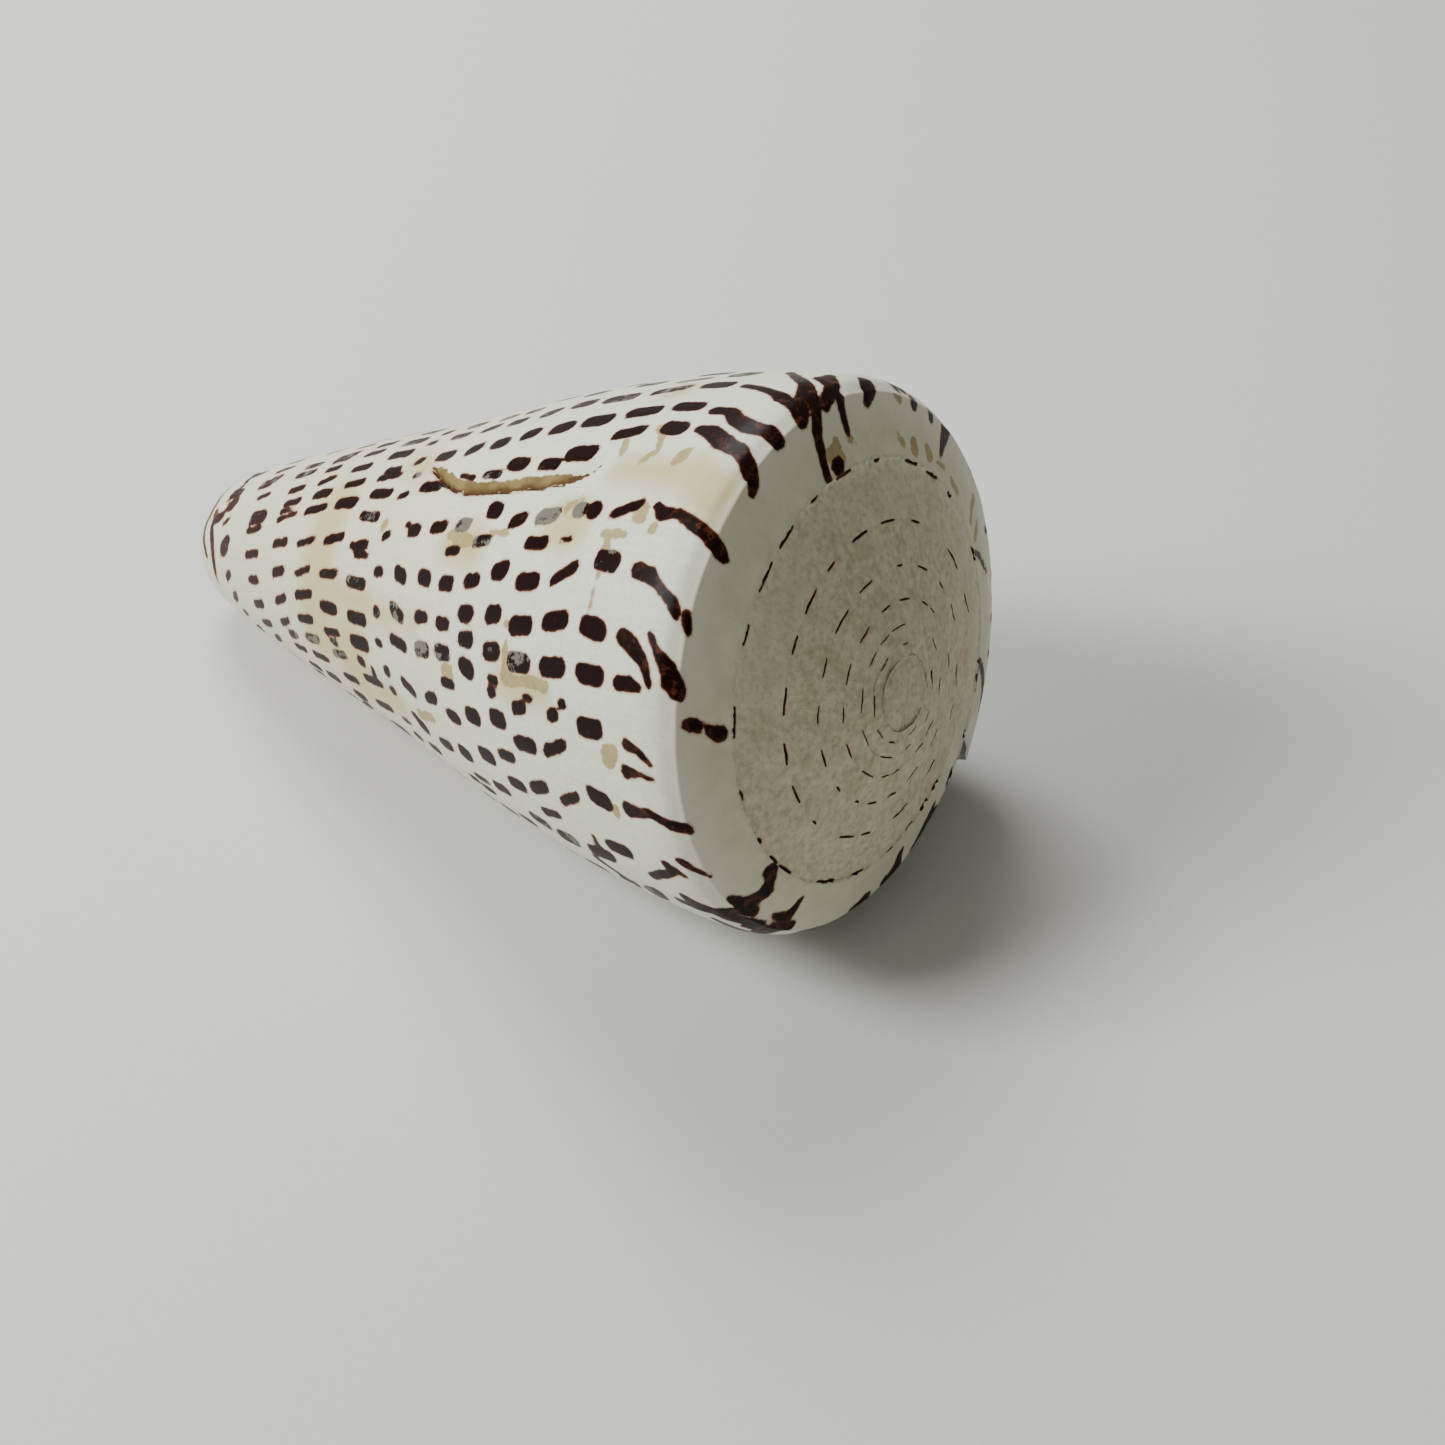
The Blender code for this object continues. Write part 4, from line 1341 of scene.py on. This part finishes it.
    def spire_ground(self, seen: ShellPatterns, side: object) -> bpy.types.NodeSocket:
        """The side's colour with the last ramp and the chalky older turns laid over it."""
        bench = seen.bench
        last = bench.blend(bench.span(seen.mottle, 0.3, 0.7), self.ramp, self.ramp_dark)
        ground = bench.blend(seen.on_ramp, side, last)
        stone = bench.blend(bench.span(seen.mottle, 0.36, 0.66), self.chalk, self.chalk_dark)
        stone = bench.blend(bench.span(seen.fine, 0.36, 0.50, 0.45, 0.0), stone, self.pit)
        stone = bench.blend(bench.span(seen.fine, 0.54, 0.66, 0.0, 0.6), stone, self.crust)
        edge_of_old = bench.times(bench.span(seen.level, -0.016, -0.003),
                                  bench.span(seen.turns, 1.35, 1.6, 1.0, 0.0))
        crusted = bench.times(edge_of_old, bench.span(seen.fine, 0.42, 0.56))
        stone = bench.blend(crusted, stone, self.crust)
        depth = bench.span(bench.sway(seen.turns, seen.cloud, 1.6), 0.9, 1.8, 0.45, 1.0)
        return bench.blend(bench.times(seen.old, depth), ground, stone)

    def stained(self, seen: ShellPatterns, ground: object) -> bpy.types.NodeSocket:
        """The ground with its tan stains."""
        bench = seen.bench
        reach = bench.sway(bench.value_of("stain"), seen.mottle, 2.4)
        ochre = bench.blend(bench.span(seen.fine, 0.35, 0.65), self.stain, self.tan)
        return bench.blend(bench.span(reach, *self.stain_edge, 0.9, 0.0), ground, ochre)

    def inked(self, seen: ShellPatterns, ground: object) -> bpy.types.NodeSocket:
        """The ground with its dark markings, their brown edges and the worn ones' grey."""
        bench = seen.bench
        wider = bench.calc("SUBTRACT", bench.value_of("dark"), self.spread)
        edge = bench.sway(wider, seen.ragged, bench.span(seen.old, 0.0, 1.0, 0.5, 0.12))
        edge = bench.times(edge, bench.span(seen.old, 0.0, 1.0, 1.0, 1.8))
        near_crest = bench.times(bench.span(seen.level, 0.10, 0.02, 0.0, 0.7),
                                 bench.span(seen.patchy, 0.55, 0.95))
        core = bench.times(bench.span(edge, *self.core_edge, 1.0, 0.0),
                           bench.calc("SUBTRACT", 1.0, near_crest))
        dark = bench.blend(bench.span(seen.level, *self.purple_levels), self.core, self.purple)
        rubbed = bench.span(bench.calc("ADD", bench.value_of("worn"), seen.patchy), 0.95, 1.2)
        ink = bench.blend(rubbed, bench.blend(core, self.rim, dark), self.grey)
        colour = bench.blend(bench.span(edge, *self.halo_edge, 0.5, 0.0), ground, self.halo)
        return bench.blend(bench.span(edge, *self.rim_edge, 1.0, 0.0), colour, ink)

    def scar_ground(self, seen: ShellPatterns, jagged: object) -> bpy.types.NodeSocket:
        """Tan of the scar, with painted shadow along its deepest part at the ledge."""
        bench = seen.bench
        colour = bench.blend(bench.span(seen.mottle, 0.38, 0.62), self.scar_light, self.tan_dark)
        across = bench.more(bench.value_of("groove"), jagged, 1.2)
        # painted shadow darkens the scar towards its ledge
        return bench.blend(bench.span(across, -1.3, -0.4), colour, self.scar_ledge_shadow)


@dataclass
class Table:
    """Plain pale floor that the shell lies on."""

    half: float = 1.2
    colour: tuple = (0.68, 0.68, 0.655)
    shades: tuple = (0.97, 1.03)
    fibre_grain: tuple = (900.0, 4.0, 0.6)
    roughness: float = 0.8
    relief: float = 0.0001
    relief_share: float = 0.3

    def build(self) -> bpy.types.Object:
        """Make the floor and its paper finish."""
        bpy.ops.object.select_all(action="DESELECT")
        bpy.ops.mesh.primitive_plane_add(size=2 * self.half, location=(0.0, 0.0, 0.0))
        floor = bpy.context.object
        floor.name = "floor"
        material = bpy.data.materials.new("pale_paper")
        material.use_nodes = True
        bench = Bench(material.node_tree)
        shader = material.node_tree.nodes["Principled BSDF"]
        spot = bench.put("ShaderNodeTexCoord").outputs["Object"]
        fibre = bench.grain(spot, *self.fibre_grain)
        darker, lighter = (tuple(c * k for c in self.colour) + (1.0,) for k in self.shades)
        bench.feed(shader.inputs["Base Color"], bench.blend(fibre, darker, lighter))
        shader.inputs["Roughness"].default_value = self.roughness
        bench.feed(shader.inputs["Normal"], bench.relief(fibre, self.relief, self.relief_share))
        floor.data.materials.append(material)
        LOG.info("floor: %.1f m wide", 2 * self.half)
        return floor


@dataclass(frozen=True)
class Camera:
    """The photo's camera, worked out in the coil's frame from the outline and sutures."""

    image_px: float = 1445.0
    focal_px: float = 2600.0
    lean_down: float = 0.6143
    lean_side: float = 0.2483
    apex_px: tuple = (819.5353, 676.9199)
    depth_mm: float = 266.885
    sensor_mm: float = 36.0
    clip_start: float = 0.01

    def build(self, coil: Coil, offset: Array) -> bpy.types.Object:
        """Place the camera over the shell.

        Args:
            coil: the growth law, for its laid-down frame.
            offset: shift of the laid-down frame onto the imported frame.
        Returns:
            The camera object.
        """
        axis = Vector((math.cos(self.lean_down) * math.cos(self.lean_side),
                       math.cos(self.lean_down) * math.sin(self.lean_side),
                       -math.sin(self.lean_down)))
        first = Vector((0.0, -1.0, 0.0)).cross(axis).normalized()
        second = axis.cross(first)
        turn = np.array((first, second, axis)).T
        middle = self.image_px / 2.0
        aside, down = ((px - middle) / self.focal_px * self.depth_mm for px in self.apex_px)
        shift = np.array((aside, down, self.depth_mm)) * MM
        place = self.to_floor(coil, turn.T @ -shift) + offset
        right = self.to_floor(coil, turn[0])
        up = -self.to_floor(coil, turn[1])
        back = -self.to_floor(coil, turn[2])
        data = bpy.data.cameras.new("camera")
        data.sensor_width = self.sensor_mm
        data.lens = self.focal_px / self.image_px * self.sensor_mm
        data.clip_start = self.clip_start
        camera = bpy.data.objects.new("camera", data)
        bpy.context.collection.objects.link(camera)
        basis = Matrix((right, up, back)).transposed()
        camera.matrix_world = Matrix.Translation(Vector(place)) @ basis.to_4x4()
        bpy.context.scene.camera = camera
        LOG.info("camera at %s", np.round(place, 4))
        return camera

    @staticmethod
    def to_floor(coil: Coil, point: Array) -> Array:
        """Turn a vector from the coil's frame to the frame in which the shell lies."""
        radius = math.hypot(point[0], point[1])
        angle = math.degrees(math.atan2(point[1], point[0]))
        return coil.lay_down(np.array(radius), np.array(angle), np.array(point[2]))


@dataclass(frozen=True)
class Lamp:
    """One soft square light."""

    name: str
    watts: float
    size: float
    place: tuple
    aim: tuple = (0.0, 0.0, 0.02)

    def build(self) -> None:
        """Put the light in its place and turn it to the shell."""
        data = bpy.data.lights.new(self.name, "AREA")
        data.energy = self.watts
        data.size = self.size
        lamp = bpy.data.objects.new(self.name, data)
        lamp.location = self.place
        turn = (Vector(self.aim) - Vector(self.place)).to_track_quat("-Z", "Y")
        lamp.rotation_euler = turn.to_euler()
        bpy.context.collection.objects.link(lamp)
        LOG.info("%s: %.1f W at %s", self.name, self.watts, self.place)


@dataclass(frozen=True)
class Studio:
    """Soft light from the left of the picture, before and behind, with a pale surround."""

    lamps: tuple = (
        Lamp("window", 6.0, 0.26, (-0.36, -0.40, 0.48)),
        Lamp("ceiling", 3.4, 0.30, (-0.34, 0.25, 0.52)),
    )
    surround: tuple = (0.88, 0.87, 0.80, 1.0)
    surround_strength: float = 0.25

    def build(self) -> None:
        """Make the lights and the surround."""
        for lamp in self.lamps:
            lamp.build()
        world = bpy.context.scene.world or bpy.data.worlds.new("surround")
        bpy.context.scene.world = world
        world.use_nodes = True
        air = world.node_tree.nodes["Background"]
        air.inputs[0].default_value = self.surround
        air.inputs[1].default_value = self.surround_strength


def main() -> None:
    """Build the shell, the floor, the light and the camera, and report each."""
    logging.basicConfig(level=logging.INFO, format="%(message)s")
    body = ShellBody()
    for spots in (SHOULDER_SPOTS, UPPER_SPOTS, MIDDLE_SPOTS, LOWER_SPOTS):
        body.markings.add_spots(spots)
    body.markings.add_side_flames(SIDE_FLAMES)
    body.markings.add_flames(RIM_FLAMES)
    SutureDashes(DASH_RINGS).add_to(body.markings, body.coil)
    FarSide().add_to(body.markings)
    # the scar's painted shadow line is drawn with the dark markings
    body.markings.add_flames((body.scar.undercut_shadow,))
    body.stains.add_spots(STAIN_PATCHES)
    body.stains.add_side_flames(STAIN_STREAKS)
    body.stains.add_flames(RAMP_STAINS)
    body.tints.add_spots(TINT_PATCHES)
    body.band.add_flames((body.scar.band,))
    shell = body.build()
    shell.data.materials.append(ShellFinish().make())
    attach(shell, "root")
    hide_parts(NODE)
    LOG.info("shell: %d faces", len(shell.data.polygons))
    Table().build()
    Camera().build(body.coil, body.offset)
    Studio().build()


if __name__ == "__main__":
    main()
